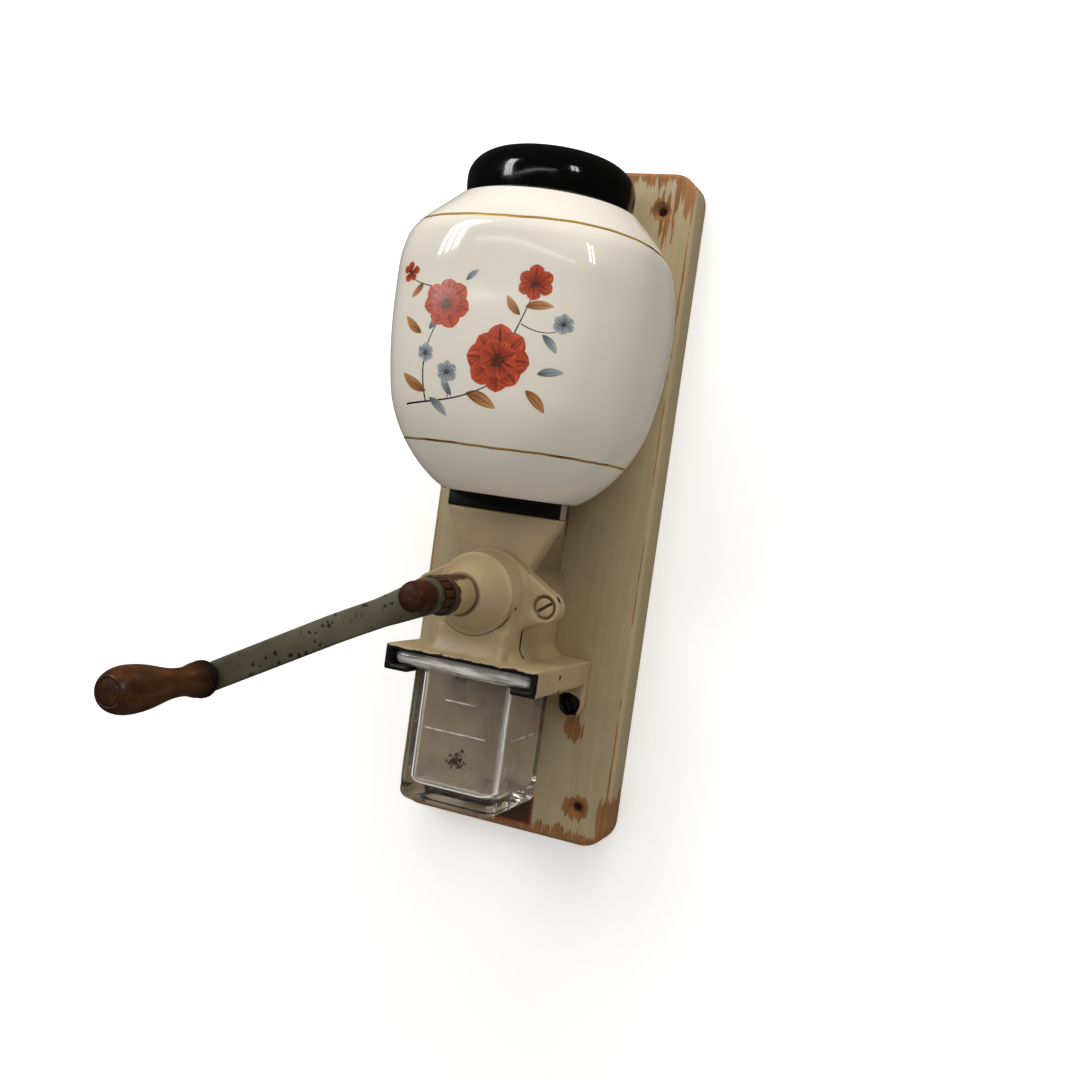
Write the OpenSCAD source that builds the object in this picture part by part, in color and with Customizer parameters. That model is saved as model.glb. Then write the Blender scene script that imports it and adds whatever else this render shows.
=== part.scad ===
// Wall mounted hand crank coffee grinder: a ceramic hopper and a cast iron burr mill on a wooden
// backboard, with a side-to-side crank in front and a square glass that slides in under the mill.
// Millimetres. The wall is the plane y = 0, the user stands at -Y, +Z is up, and the origin is the
// middle of the backboard's back face. Depths called "out" are measured from the board's front face.

/* [Backboard] */
// Width of the backboard
board_w = 127; // [120:1:150]
// Height of the backboard
board_h = 362; // [354:1:420]
// Thickness of the backboard
board_t = 18; // [17:1:26]
// Radius of the board's corners
board_corner_r = 14; // [6:1:22]
// Chamfer along the board's front arris
board_arris = 2; // [1:0.5:4]
// Distance of the wall screw holes from the board's sides
wall_hole_side = 18.5; // [15:0.5:20]
// Distance of the wall screw holes from the board's ends
wall_hole_end = 20; // [16:1:28]
// Diameter of the wall screw holes
wall_hole_d = 5; // [4:0.5:6]
// Diameter of the countersink at a wall screw hole
wall_sink_d = 10; // [8:0.5:12]

/* [Hopper] */
// Width of the hopper at its belly
hopper_w = 130; // [122:1:138]
// Height of the hopper from its base to its rim
hopper_h = 146.5; // [144:0.5:154]
// Diameter of the round rim under the lid
rim_d = 92; // [91:0.5:93]
// Width of the flat base
base_w = 64; // [58:1:68]
// Height of the widest point above the base
belly_h = 92; // [84:1:100]
// Height at which the rounded crown starts
crown_h = 122; // [116:1:128]
// Height at which the rounded hip ends
hip_h = 46; // [40:1:52]
// Radius of the barrelled sides, seen from the front
barrel_r = 252; // [220:1:400]
// How square the belly is in plan: 2 is round, 4 is nearly square
squareness = 3.4; // [2.8:0.1:4]
// How far out the middle of the belly lies
belly_out = 39; // [37:1:42]
// How far out the middle of the base lies
base_out = 42; // [39:1:44]
// How far out the middle of the rim lies
rim_out = 44; // [43.5:0.5:46]
// Thickness of the ceramic wall
hopper_wall = 5; // [4:0.5:6]
// Diameter of the filling mouth
mouth_d = 62; // [56:1:66]
// Diameter of the bean outlet in the base
outlet_d = 28; // [24:1:28]
// How far out the middle of the outlet lies
outlet_out = 27; // [25:1:29]
// Spacing of the two screws that hold the hopper
hopper_screw_w = 50; // [40:1:60]
// Height of those screws above the base
hopper_screw_h = 112; // [100:1:118]

/* [Lid] */
// Diameter of the lid
lid_d = 84; // [80:1:86]
// Height of the lid above the rim
lid_h = 26.5; // [24:0.5:29]
// Height of the lid's upright edge
lid_edge_h = 11; // [9:0.5:12]
// Width of the lid's rounded shoulder
lid_round = 17; // [12:1:20]
// Wall of the lid
lid_wall = 4; // [3:0.5:5]
// Depth of the skirt below the rim
skirt_h = 9; // [6:0.5:12]

/* [Mill housing] */
// Height of the crank axis, measured from the middle of the board
shaft_z = -49.5; // [-54:0.5:-47]
// How far out the joint between the two castings lies
joint_out = 49; // [47:0.5:51]
// Thickness of the front casting's joint flange
flange_t = 6; // [5:0.5:8]
// Thickness of the ears on the rear casting
rear_ear_t = 3.5; // [3:0.5:5]
// Diameter of the round middle of the flange
flange_d = 46; // [45:0.5:48]
// Spacing of the two ear screws
ear_w = 64; // [62:0.5:68]
// Diameter of an ear
ear_d = 16.5; // [16:0.5:18]
// Diameter of the rear casting's round body
seat_d = 44; // [42.5:0.5:44.5]
// Depth of the ears below the crank axis
ear_drop = 2.5; // [0:0.5:4]
// Height of the funnel's top above the crank axis
funnel_h = 41.6; // [38:0.2:46]
// Width of the funnel's top
funnel_w = 64; // [60:1:68]
// Width of the funnel where it meets the flange
funnel_foot_w = 43; // [40:1:46]
// Height of that place above the crank axis
funnel_foot_h = 20; // [17:0.5:22]
// Width of the funnel's back and of the spine on the board
spine_w = 33; // [32:1:36]
// Wall of the castings
cast_wall = 4; // [3:0.5:5]
// Width of the neck between the flange and the glass holder
neck_w = 40; // [38:1:44]
// Radius of the neck's hollow flanks
neck_r = 8.5; // [6:0.5:9]
// Diameter of the barrel at the flange
barrel_foot_d = 44; // [42.5:0.5:45]
// Diameter of the barrel's front edge
barrel_end_d = 40.5; // [38:0.5:41]
// How far out the barrel's front edge lies
barrel_out = 70; // [68:0.5:72]
// Diameter of the round nose at the sleeve
nose_d = 21; // [20.5:0.5:23]
// How far out the nose ends
nose_out = 86.5; // [84:0.5:90]

/* [Glass holder] */
// Width of the holder over its side walls
holder_w = 84; // [82:1:92]
// How far out the holder reaches
holder_out = 75.5; // [72:0.5:80]
// Depth of the holder's top below the crank axis
holder_drop = 31.7; // [31:0.1:34]
// Height of the holder
holder_h = 13.2; // [12:0.2:15]
// Thickness of the holder's top plate
holder_top_t = 2.8; // [2.4:0.2:3.4]
// Thickness of the holder's lips
lip_t = 3.2; // [2.6:0.2:3.6]
// Thickness of the holder's side walls
holder_wall = 3.6; // [3:0.2:4.2]
// Width of each lip, measured from the side wall
lip_w = 10; // [8:0.5:10.5]
// Width of a screw lug under the holder
lug_w = 14; // [13:0.5:15]
// Distance of a lug screw below the crank axis
lug_drop = 56; // [55:0.5:58]
// Diameter of the recess for a lug screw's head
lug_sink_d = 10; // [9.5:0.5:10.5]
// Thickness of a lug
lug_t = 5; // [4:0.5:7]

/* [Receiver glass] */
// Outer width of the glass
glass_w = 54; // [48:1:55]
// Outer depth of the glass
glass_d = 56.5; // [50:0.5:57]
// How far out the back of the glass lies
glass_back = 15; // [13:0.5:16]
// Height of the glass below its flange
glass_h = 68; // [56:1:76]
// Thickness of the glass walls
glass_wall = 4.5; // [3.5:0.5:5.5]
// Thickness of the glass base
glass_base = 9; // [6:0.5:11]
// Radius of the outer corners
glass_r = 5; // [4.5:0.5:7]

/* [Shaft and burrs] */
// Diameter of the drive shaft
shaft_d = 10; // [9:0.5:10.5]
// Diameter of the rear journal
journal_d = 8; // [7:0.5:8.5]
// Radial clearance of a running fit
run_gap = 0.05; // [0.03:0.01:0.08]
// Outer diameter of the burr ring
ring_d = 36; // [34:0.5:37]
// Length of the burr ring
ring_len = 18; // [16:0.5:19]
// Large diameter of the burr cone
cone_big_d = 29.5; // [28:0.5:30]
// Small diameter of the burr cone
cone_small_d = 16; // [14.5:0.5:18]
// Gap between the burrs at their fine end
burr_gap = 0.6; // [0.4:0.1:0.9]
// Number of flutes on the burr cone
cone_flutes = 10; // [8:1:12]
// Number of flutes in the burr ring
ring_flutes = 14; // [12:1:16]
// Diameter of the sleeve's collar
sleeve_d = 19.4; // [18.5:0.1:20]
// Length of the sleeve's collar in front of the nose
sleeve_len = 20.5; // [18:0.5:23]
// Diameter of the sleeve's spigot in the nose
spigot_d = 14; // [13:0.5:15]
// Wire diameter of the thrust spring
spring_wire = 1.2; // [1:0.1:1.3]
// Turns of the thrust spring
spring_turns = 2; // [2:0.5:3]

/* [Crank] */
// Distance from the crank axis to the handle axis
crank_r = 122.5; // [110:0.5:135]
// Angle of the crank below the horizontal at rest, on the left
crank_tilt = 28.25; // [0:0.25:60]
// Thickness of the crank arm
arm_t = 4; // [3:0.5:5]
// Diameter of the arm's round hub
hub_d = 17.4; // [16:0.2:19]
// Width of the crank arm at its bend
arm_w = 13.6; // [13:0.2:16]
// Width of the crank arm at the handle
arm_end_w = 14; // [13:0.2:16]
// How far the arm steps outwards between hub and handle
arm_step = 8; // [5:0.5:12]
// Distance from the crank axis at which the step ends
arm_bend = 50; // [44:1:60]
// Side of the shaft's square that drives the arm
drive_square = 7; // [6:0.5:7]
// Diameter of the thread for the crank nut
stud_d = 6.5; // [5.5:0.5:7]
// Width across the flats of the crank nut
nut_w = 14.5; // [13:0.5:15]
// Height of the crank nut
nut_h = 10; // [8:0.5:11]
// Length of the thread that stands out of the nut
stud_end = 4; // [2:0.5:6]
// Diameter of the adjusting nut
adjuster_d = 17; // [16:0.5:19]
// Length of the adjusting nut
adjuster_len = 9; // [7:0.5:11]
// Thickness of the washer behind the arm
washer_t = 1.6; // [1.2:0.2:2]

/* [Handle] */
// Length of the wooden grip
grip_len = 62; // [58:1:76]
// Largest diameter of the grip
grip_d = 22.4; // [20:0.2:26]
// Diameter of the grip's waist
waist_d = 13.8; // [13:0.2:15]
// Diameter of the grip's flare at the ferrule
flare_d = 17.8; // [16.8:0.2:19]
// Length of the iron ferrule
ferrule_len = 4; // [3:0.5:6]
// Diameter of the handle spindle
spindle_d = 6; // [5:0.5:6.5]
// Diameter of the plug in the grip's end
plug_d = 12.4; // [11.6:0.2:13]
// Length of that plug
plug_len = 6; // [5:0.5:8]

/* [Screws] */
// Shank diameter of the ear screws
ear_screw_d = 5; // [4:0.5:5.5]
// Head diameter of the ear screws
ear_head_d = 9.4; // [8:0.2:10]
// Diameter of the recess that an ear screw's head lies in
ear_sink_d = 12.4; // [11:0.2:13]
// Shank diameter of the wood screws
wood_screw_d = 4; // [3.5:0.5:4.5]
// Head diameter of the wood screws
wood_head_d = 8; // [7:0.5:9]
// Diameter of the bolts that come through the board
spine_bolt_d = 5; // [4:0.5:6]
// Height of the screw heads
head_h = 3; // [2.5:0.5:3.5]

/* [Hidden] */
$fn = 64;

// Clearance between still pieces that are put together by hand
fit_gap = 0.1;
// Clearance between pieces that slide or lift
slide_gap = 0.3;
// How far a cut runs past the face it opens
past = 1;
// Depth of a screw slot, its width, and how far the ear screws are turned
slot_depth = 1.4;
slot_w = 1.4;
slot_turn = 35;
// How deep the ear screws' heads lie in the ears
head_sunk = 1;
// Spacing of the wall screw holes across the board and up it
wall_hole_w = board_w - 2 * wall_hole_side;
wall_hole_h = board_h - 2 * wall_hole_end;
// How deep the wood screws bite, and the washers under the hopper's screws
wood_screw_len = 14;
screw_washer_t = 1;
screw_washer_d = wood_head_d + 3;
// Bolts through the board: depth and diameter of their heads, their bite and their heights
bolt_sink = 4;
bolt_head_d = 10;
bolt_bite = 3;
spine_bolt_up = 30;
spine_bolt_down = -24;

// Points round one section of the hopper, and the least half width of its flat back
ring_points = 48;
least_chord = 4;
// Pulls that shape the hopper's curves at the crown, the rim, the hip and the base
crown_pull = 8;
rim_pull = [8, -7.5];
hip_pull = 18;
base_pull = [16, 9.5];
// How square the base is in plan, and the height where the plan starts to turn round
base_squareness = 2.8;
round_start_h = 106;

// Height of the funnel's top, the gasket, the hopper's base and its rim
gasket_t = 8;
funnel_top = shaft_z + funnel_h;
base_z = funnel_top + gasket_t;
rim_z = base_z + hopper_h;
// Depth of the funnel's upright cheeks behind the joint
cheek = 7;

// Stations along the crank axis, measured out from the board
bush_out = 2;
bush_len = 8;
bush_flange_t = 1.5;
bush_d = 12;
bush_flange_d = 16;
back_wall = bush_out + bush_len;
register_len = 6;
ring_end = joint_out - register_len;
ring_start = ring_end - ring_len;
spring_open = 1;
spring_clear = 0.5;
spring_start = back_wall + bush_flange_t + slide_gap;
spring_len = spring_wire + spring_turns * (spring_wire + spring_open);
cone_start = spring_start + spring_len + slide_gap;
discharge_len = 12;
discharge_end = joint_out + discharge_len;
sleeve_end = nose_out + sleeve_len;
adjuster_start = sleeve_end + slide_gap;
washer_start = adjuster_start + adjuster_len + slide_gap;
arm_start = washer_start + washer_t;
nut_start = arm_start + arm_t;
stud_tip = nut_start + nut_h + stud_end;
grip_start = arm_start + arm_step + arm_t + slide_gap;

// Bores of the feed chamber and of the chamber in front of the burrs
feed_d = 30;
discharge_d = 30.4;
// The chute from that chamber down into the glass
chute_w = 22;
chute_start = ring_end + past;
chute_end = discharge_end - 2;
// Width and depth of the burrs' flutes and the lean of the cone's flutes
flute_w = 1.6;
flute_depth = 1.8;
flute_lean = 12;
// The pin that locks the cone to the shaft
pin_d = 3;
pin_len = cone_small_d - 2;
pin_out = cone_start + 7;

// The rim round the barrel's end: how thick it is and how far it stands out
cap_rim_t = 1.6;
cap_rim = 0.6;
// Middle of the holder's side walls, and how far the swelling stays behind its front edge
holder_half = holder_w / 2;
apron_edge = 1.5;
apron_sink = 0.4;
apron_inset = 4;
neck_inset = 6;
// How far the neck's hollow flanks are sunk, so that they meet the flat faces at an angle
flank_sink = 0.3;
// Share of the discs' radii at which the flange is bridged to its ears
bridge_part = 0.98;

// How far the glass's flange stays behind the holder's front edge
rim_inset = 3;

// Length along the arm over which the hub narrows
hub_blend = 24;
// Chamfered end of the crank nut, and its turn on the thread
nut_dome = 2.5;
nut_turn = 15;
// Notches of the adjusting nut
notches = 12;
notch_d = 1.6;

// Rivet and head of the handle spindle, the plug's proud end, and stations along the handle axis
rivet_t = 2;
rivet_d = spindle_d + 4;
spindle_head_d = 10;
spindle_head_t = 3;
plug_proud = 0.6;
ferrule_proud = 0.4;
ferrule_taper = 1.4;
waist_at = 0.232 * grip_len;
belly_at = 0.81 * grip_len;
plug_start = grip_start + ferrule_len + grip_len - plug_len;
head_start = plug_start - spindle_head_t - slide_gap;

// A cubic curve through four points, at t from 0 to 1
function curve(p, t) =
    pow(1 - t, 3) * p[0] + 3 * pow(1 - t, 2) * t * p[1] + 3 * (1 - t) * t * t * p[2] + pow(t, 3) * p[3];
// A smooth step from 0 to 1
function ease(t) = let (u = min(max(t, 0), 1)) u * u * (3 - 2 * u);
// Four sided outline that bridges two circles on the x axis, just inside their common tangents
function bridge_outline(disc_a, disc_b, distance) =
    let (
        r_a = bridge_part * disc_a,
        r_b = bridge_part * disc_b,
        angle = acos((r_a - r_b) / distance)
    )
    [
        [r_a * cos(angle), r_a * sin(angle)],
        [distance + r_b * cos(angle), r_b * sin(angle)],
        [distance + r_b * cos(angle), -r_b * sin(angle)],
        [r_a * cos(angle), -r_a * sin(angle)]
    ];

// Puts a drawing of x and z on a plane that lies out from the board, with its height at zero
module facing(out) { translate([0, -(board_t + out), 0]) rotate([90, 0, 0]) children(); }
// The same, with its middle on the crank axis
module on_axis(out) { translate([0, 0, shaft_z]) facing(out) children(); }
// The same, turned to the crank's rest angle
module on_crank(out) { on_axis(out) rotate(180 + crank_tilt) children(); }
// The same, with its middle on the handle axis
module on_handle(out) { on_crank(out) translate([crank_r, 0, 0]) children(); }
// A straight rod along the crank axis between two stations
module rod(from, to, d) { on_axis(from) cylinder(h = to - from, d = d); }
// A slab drawn in x and z, between two stations
module slab(from, to) { on_axis(from) linear_extrude(to - from) children(); }

// A slotted screw along +z with its head's underside at zero
module slotted_screw(shank_d, shank_len, head_d) {
    difference() {
        union() {
            cylinder(h = head_h, d = head_d);
            translate([0, 0, -shank_len]) cylinder(h = shank_len + past, d = shank_d);
        }
        translate([-head_d, -slot_w / 2, head_h - slot_depth]) cube([2 * head_d, slot_w, slot_depth + past]);
    }
}

// Outline of the board with its corners rounded, drawn in x and z
module board_outline(inset) {
    w = board_w - 2 * inset;
    h = board_h - 2 * inset;
    r = board_corner_r - inset;
    square([w - 2 * r, h], center = true);
    square([w, h - 2 * r], center = true);
    for (x = [-1, 1], z = [-1, 1]) {
        translate([x * (w / 2 - r), z * (h / 2 - r)]) circle(r, $fn = 32);
    }
}

module wall_holes() {
    for (x = [-1, 1], z = [-1, 1]) {
        translate([x * wall_hole_w / 2, 0, z * wall_hole_h / 2]) facing(-board_t - past) {
            cylinder(h = board_t + 2 * past, d = wall_hole_d);
            translate([0, 0, board_t + past - (wall_sink_d - wall_hole_d) / 2])
                cylinder(h = (wall_sink_d - wall_hole_d) / 2 + 0.01, d1 = wall_hole_d, d2 = wall_sink_d);
        }
    }
}

// The wooden board, with its wall holes and the holes for everything that is screwed to it
module backboard() {
    color("tan") difference() {
        hull() {
            facing(-board_t) linear_extrude(board_t - board_arris) board_outline(0);
            facing(-board_t) linear_extrude(board_t) board_outline(board_arris);
        }
        wall_holes();
        hopper_screw_places() translate([0, 0, -wood_screw_len])
            cylinder(h = wood_screw_len + past, d = wood_screw_d + fit_gap);
        lug_places() translate([0, 0, -wood_screw_len])
            cylinder(h = wood_screw_len + past, d = wood_screw_d + fit_gap);
        spine_bolt_places() {
            translate([0, 0, -past]) cylinder(h = board_t + 2 * past, d = spine_bolt_d + 2 * fit_gap);
            translate([0, 0, -past]) cylinder(h = bolt_sink + past, d = bolt_head_d + 2 * fit_gap);
        }
    }
}

module lug_places() {
    for (x = [-1, 1]) {
        on_axis(0) translate([x * (holder_half - lug_w / 2), -lug_drop, 0]) children();
    }
}

module spine_bolt_places() {
    for (z = [spine_bolt_up, spine_bolt_down]) on_axis(-board_t) translate([0, z, 0]) children();
}

module hopper_screw_places() {
    for (x = [-1, 1]) {
        translate([x * hopper_screw_w / 2, 0, base_z + hopper_screw_h]) facing(0) children();
    }
}

// The middles of the two ears, drawn in x and z about the crank axis
module ear_places() { for (x = [-1, 1]) translate([x * ear_w / 2, -ear_drop]) children(); }

// The two eared outline on which the castings meet
module flange_outline() {
    circle(d = flange_d);
    ear_places() circle(d = ear_d);
    for (x = [0, 1]) mirror([x, 0]) rotate(-atan2(ear_drop, ear_w / 2))
        polygon(bridge_outline(flange_d / 2, ear_d / 2, norm([ear_w / 2, ear_drop])));
}

// Straight bores on the two ears' axes
module ear_rods(from, to, d) { on_axis(from) ear_places() cylinder(h = to - from, d = d); }

// The neck below the flange, with hollow flanks that run out into the holder's top
module neck_outline() {
    low = -holder_drop - holder_top_t / 2;
    high = -holder_drop + neck_r - flank_sink;
    translate([-neck_w / 2, low]) square([neck_w, holder_drop]);
    for (x = [0, 1]) mirror([x, 0]) difference() {
        translate([neck_w / 2 - past, low]) square([neck_r + past - flank_sink, high - low]);
        translate([neck_w / 2 + neck_r - flank_sink, high]) circle(neck_r);
    }
}

// Cross section of the glass holder: a channel that is open in front and below
module holder_outline() {
    for (x = [-1, 1]) {
        translate([x * (holder_half - holder_wall / 2), -holder_drop - holder_h / 2])
            square([holder_wall, holder_h], center = true);
        translate([x * (holder_half - (holder_wall + lip_w) / 2), -holder_drop - holder_h + lip_t / 2])
            square([holder_wall + lip_w, lip_t], center = true);
    }
    translate([-holder_half, -holder_drop - holder_top_t]) square([holder_w, holder_top_t]);
}

// Front view of the funnel, inset by a wall
module funnel_front(wall) {
    rise = funnel_h - funnel_foot_h;
    slope = (funnel_w - funnel_foot_w) / 2 / rise;
    foot = funnel_foot_w / 2 - slope * funnel_foot_h;
    polygon([
        [-foot + wall, 0],
        [foot - wall, 0],
        [foot - wall + slope * (funnel_h + wall), funnel_h + wall],
        [-foot + wall - slope * (funnel_h + wall), funnel_h + wall]
    ]);
}

// Top view of the funnel: flat in front and drawn in to the spine at the board
module funnel_top_view() {
    polygon([
        [-spine_w / 2, 0],
        [spine_w / 2, 0],
        [funnel_w / 2, joint_out - cheek],
        [funnel_w / 2, joint_out],
        [-funnel_w / 2, joint_out],
        [-funnel_w / 2, joint_out - cheek]
    ]);
}

module funnel_block(top) {
    intersection() {
        slab(0, joint_out) intersection() {
            funnel_front(0);
            translate([-funnel_w, 0]) square([2 * funnel_w, funnel_h]);
        }
        translate([0, -board_t, shaft_z]) mirror([0, 1, 0]) linear_extrude(top) funnel_top_view();
    }
}

// Hollow of the funnel, from its open top down to the feed chamber
module funnel_hollow() {
    mouth_half = spine_w / 2 - cast_wall / 2;
    foot_half = feed_d / 2 - cast_wall;
    intersection() {
        slab(cast_wall, joint_out - cast_wall) polygon([
            [-foot_half, 0], [foot_half, 0], [foot_half, feed_d / 2],
            [mouth_half, funnel_h + past], [-mouth_half, funnel_h + past], [-foot_half, feed_d / 2]
        ]);
        translate([-funnel_w / 2, -board_t, shaft_z]) rotate([90, 0, 90]) linear_extrude(funnel_w) polygon([
            [-back_wall, 0], [-ring_start, 0], [-ring_start, feed_d / 2],
            [-(joint_out - cast_wall), funnel_h + past], [-cast_wall - 1, funnel_h + past],
            [-back_wall, feed_d / 2]
        ]);
    }
}

module chute() {
    slab(chute_start, chute_end) translate([-chute_w / 2, -holder_drop - holder_top_t - past])
        square([chute_w, holder_drop + holder_top_t + past - shaft_d / 2]);
}

// The casting that is screwed to the board: funnel, burr seat, back half of the glass holder, two lugs
module rear_housing() {
    color("wheat") difference() {
        union() {
            funnel_block(funnel_h);
            rod(0, joint_out, seat_d);
            slab(joint_out - rear_ear_t, joint_out) flange_outline();
            slab(0, joint_out) neck_outline();
            slab(0, joint_out) holder_outline();
            slab(0, cast_wall)
                translate([-holder_half, -holder_drop - holder_h]) square([holder_w, holder_h]);
            for (x = [-1, 1]) slab(0, lug_t) translate([x * (holder_half - lug_w / 2), -lug_drop]) {
                circle(d = lug_w);
                translate([-lug_w / 2, 0]) square([lug_w, lug_drop - holder_drop - holder_h + past]);
            }
        }
        rod(ring_start, joint_out + past, ring_d + 2 * fit_gap);
        rod(back_wall, ring_start + past, feed_d);
        rod(bush_out, back_wall + past, bush_d + 2 * fit_gap);
        funnel_hollow();
        chute();
        ear_rods(joint_out - rear_ear_t - past, joint_out + past, ear_screw_d + 2 * fit_gap);
        lug_places() {
            translate([0, 0, -past]) cylinder(h = lug_t + 2 * past, d = wood_screw_d + 2 * fit_gap);
            translate([0, 0, lug_t - head_h]) cylinder(h = head_h + past, d = lug_sink_d);
        }
        spine_bolt_places() translate([0, 0, board_t - past])
            cylinder(h = bolt_bite + past, d = spine_bolt_d + 2 * fit_gap);
    }
}

// Side view of the swelling between the barrel and the holder's front edge, out against height
module apron_outline() {
    top = -barrel_end_d / 2 + apron_inset;
    floor_z = -holder_drop - apron_sink;
    edge = holder_out - apron_edge;
    polygon(concat(
        [[joint_out, top]],
        [for (a = [0:15:90]) [
            edge - (edge - barrel_out + past) * cos(a),
            floor_z + (top - floor_z) * (1 - sin(a))
        ]],
        [[joint_out, floor_z]]
    ));
}

// The casting in front: eared cover, barrel and nose, front half of the glass holder
module front_housing() {
    color("wheat") difference() {
        union() {
            slab(joint_out, joint_out + flange_t) flange_outline();
            on_axis(joint_out) cylinder(h = barrel_out - joint_out, d1 = barrel_foot_d, d2 = barrel_end_d);
            on_axis(barrel_out - past)
                cylinder(h = nose_out - barrel_out + past, d1 = barrel_end_d - past, d2 = nose_d);
            rod(barrel_out - cap_rim_t, barrel_out, barrel_end_d + 2 * cap_rim);
            slab(joint_out, barrel_out - neck_inset) neck_outline();
            slab(joint_out, holder_out) holder_outline();
            translate([-neck_w / 2, -board_t, shaft_z]) mirror([0, 1, 0]) rotate([90, 0, 90])
                linear_extrude(neck_w) apron_outline();
            rod(ring_end + fit_gap, joint_out + past, ring_d - 2 * fit_gap);
        }
        rod(ring_end - past, discharge_end, discharge_d);
        rod(discharge_end - past, nose_out + past, spigot_d + 2 * fit_gap);
        chute();
        ear_rods(joint_out - past, joint_out + flange_t + past, ear_screw_d + 2 * fit_gap);
        ear_rods(joint_out + flange_t - head_sunk - head_h, joint_out + flange_t + past, ear_sink_d);
    }
}

module housing_screws() {
    color("tan") on_axis(joint_out + flange_t - head_sunk - head_h) ear_places()
        rotate(slot_turn) slotted_screw(ear_screw_d, flange_t + rear_ear_t - head_sunk - head_h, ear_head_d);
}

module lug_screws() {
    color("dimgray") lug_places() translate([0, 0, lug_t - head_h])
        slotted_screw(wood_screw_d, wood_screw_len + lug_t - head_h - past, wood_head_d);
}

module spine_bolts() {
    color("gray") spine_bolt_places() translate([0, 0, bolt_sink]) mirror([0, 0, 1])
        slotted_screw(spine_bolt_d, board_t - bolt_sink + bolt_bite - past, bolt_head_d);
}

// The rubber block that seats the hopper on the funnel
module hopper_gasket() {
    color([0.1, 0.1, 0.1]) difference() {
        translate([0, -board_t, funnel_top]) mirror([0, 1, 0]) linear_extrude(gasket_t) funnel_top_view();
        translate([0, -(board_t + outlet_out), funnel_top - past])
            cylinder(h = gasket_t + 2 * past, d = outlet_d);
    }
}

// Half width of the hopper at a height above its base
function barrel(h) = hopper_w / 2 - pow(h - belly_h, 2) / (2 * barrel_r);
function lean(h) = (h - belly_h) / barrel_r;
function hip_curve() = let (p = [barrel(hip_h), hip_h])
    [[base_w / 2, 0], [base_w / 2, 0] + base_pull, p + hip_pull * [lean(hip_h), -1], p];
function crown_curve() = let (p = [barrel(crown_h), crown_h], rim = [rim_d / 2, hopper_h])
    [p, p + crown_pull * [-lean(crown_h), 1], rim + rim_pull, rim];
// The hopper's profile from base to rim, as half widths and heights
function hopper_profile(hip_steps, side_steps, crown_steps) = concat(
    [for (i = [0:hip_steps]) curve(hip_curve(), i / hip_steps)],
    [for (i = [1:side_steps - 1]) let (h = hip_h + (crown_h - hip_h) * i / side_steps) [barrel(h), h]],
    [for (i = [0:crown_steps]) curve(crown_curve(), i / crown_steps)]
);
function section_squareness(h) = h < hip_h
    ? base_squareness + (squareness - base_squareness) * ease(h / hip_h)
    : squareness - (squareness - 2) * ease((h - round_start_h) / (hopper_h - round_start_h));
function section_out(h) = h < belly_h
    ? base_out + (belly_out - base_out) * ease(h / belly_h)
    : belly_out + (rim_out - belly_out) * ease((h - belly_h) / (hopper_h - belly_h));
// One section of the hopper: a rounded square cut flat where it would run into the board
function section(half, h, back) =
    let (
        n = section_squareness(h),
        middle = section_out(h),
        depth = min(middle - back, half),
        turn = min(acos(-pow(depth / half, n / 2)), 180 - asin(pow(least_chord / half, n / 2)))
    )
    [for (i = [0:ring_points - 1])
        let (
            a = turn * (2 * i / (ring_points - 1) - 1),
            x = half * sign(sin(a)) * pow(abs(sin(a)), 2 / n),
            y = half * sign(cos(a)) * pow(abs(cos(a)), 2 / n)
        )
        [x, -(board_t + middle + y), base_z + h]
    ];

// A closed solid through sections that all have the same number of points
module loft(sections) {
    count = len(sections[0]);
    rows = len(sections);
    points = [for (s = sections) each s];
    sides = [for (r = [0:rows - 2], i = [0:count - 1])
        let (a = r * count + i, b = r * count + (i + 1) % count)
        each [[a, a + count, b], [b, a + count, b + count]]
    ];
    bottom = [for (i = [0:count - 1]) i];
    top = [for (i = [count - 1:-1:0]) (rows - 1) * count + i];
    polyhedron(points = points, faces = concat(sides, [bottom, top]));
}

module hopper_outside() {
    loft([for (p = hopper_profile(10, 5, 9)) section(p[0], p[1], 0)]);
}

module hopper_inside() {
    loft([
        for (p = hopper_profile(6, 3, 6))
            if (p[1] > hopper_wall / 2 && p[1] < hopper_h - hopper_wall / 2)
                section(p[0] - hopper_wall, min(max(p[1], hopper_wall), hopper_h - hopper_wall), hopper_wall)
    ]);
}

// The ceramic hopper, flat at the back, with a round mouth on top and the bean outlet in its base
module hopper() {
    color("ivory") difference() {
        hopper_outside();
        hopper_inside();
        translate([0, -(board_t + rim_out), rim_z - hopper_wall - past])
            cylinder(h = hopper_wall + 2 * past, d = mouth_d);
        translate([0, -(board_t + outlet_out), base_z - past]) cylinder(h = 3 * hopper_wall, d = outlet_d);
        hopper_screw_places() translate([0, 0, -past])
            cylinder(h = hopper_wall + 2 * past, d = wood_screw_d + 2 * fit_gap);
    }
}

module hopper_washers() {
    color("sienna") hopper_screw_places() translate([0, 0, hopper_wall]) difference() {
        cylinder(h = screw_washer_t, d = screw_washer_d);
        translate([0, 0, -past]) cylinder(h = screw_washer_t + 2 * past, d = wood_screw_d + 2 * fit_gap);
    }
}

module hopper_screws() {
    color("gray") hopper_screw_places() translate([0, 0, hopper_wall + screw_washer_t])
        slotted_screw(wood_screw_d, wood_screw_len + hopper_wall - past, wood_head_d);
}

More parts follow.
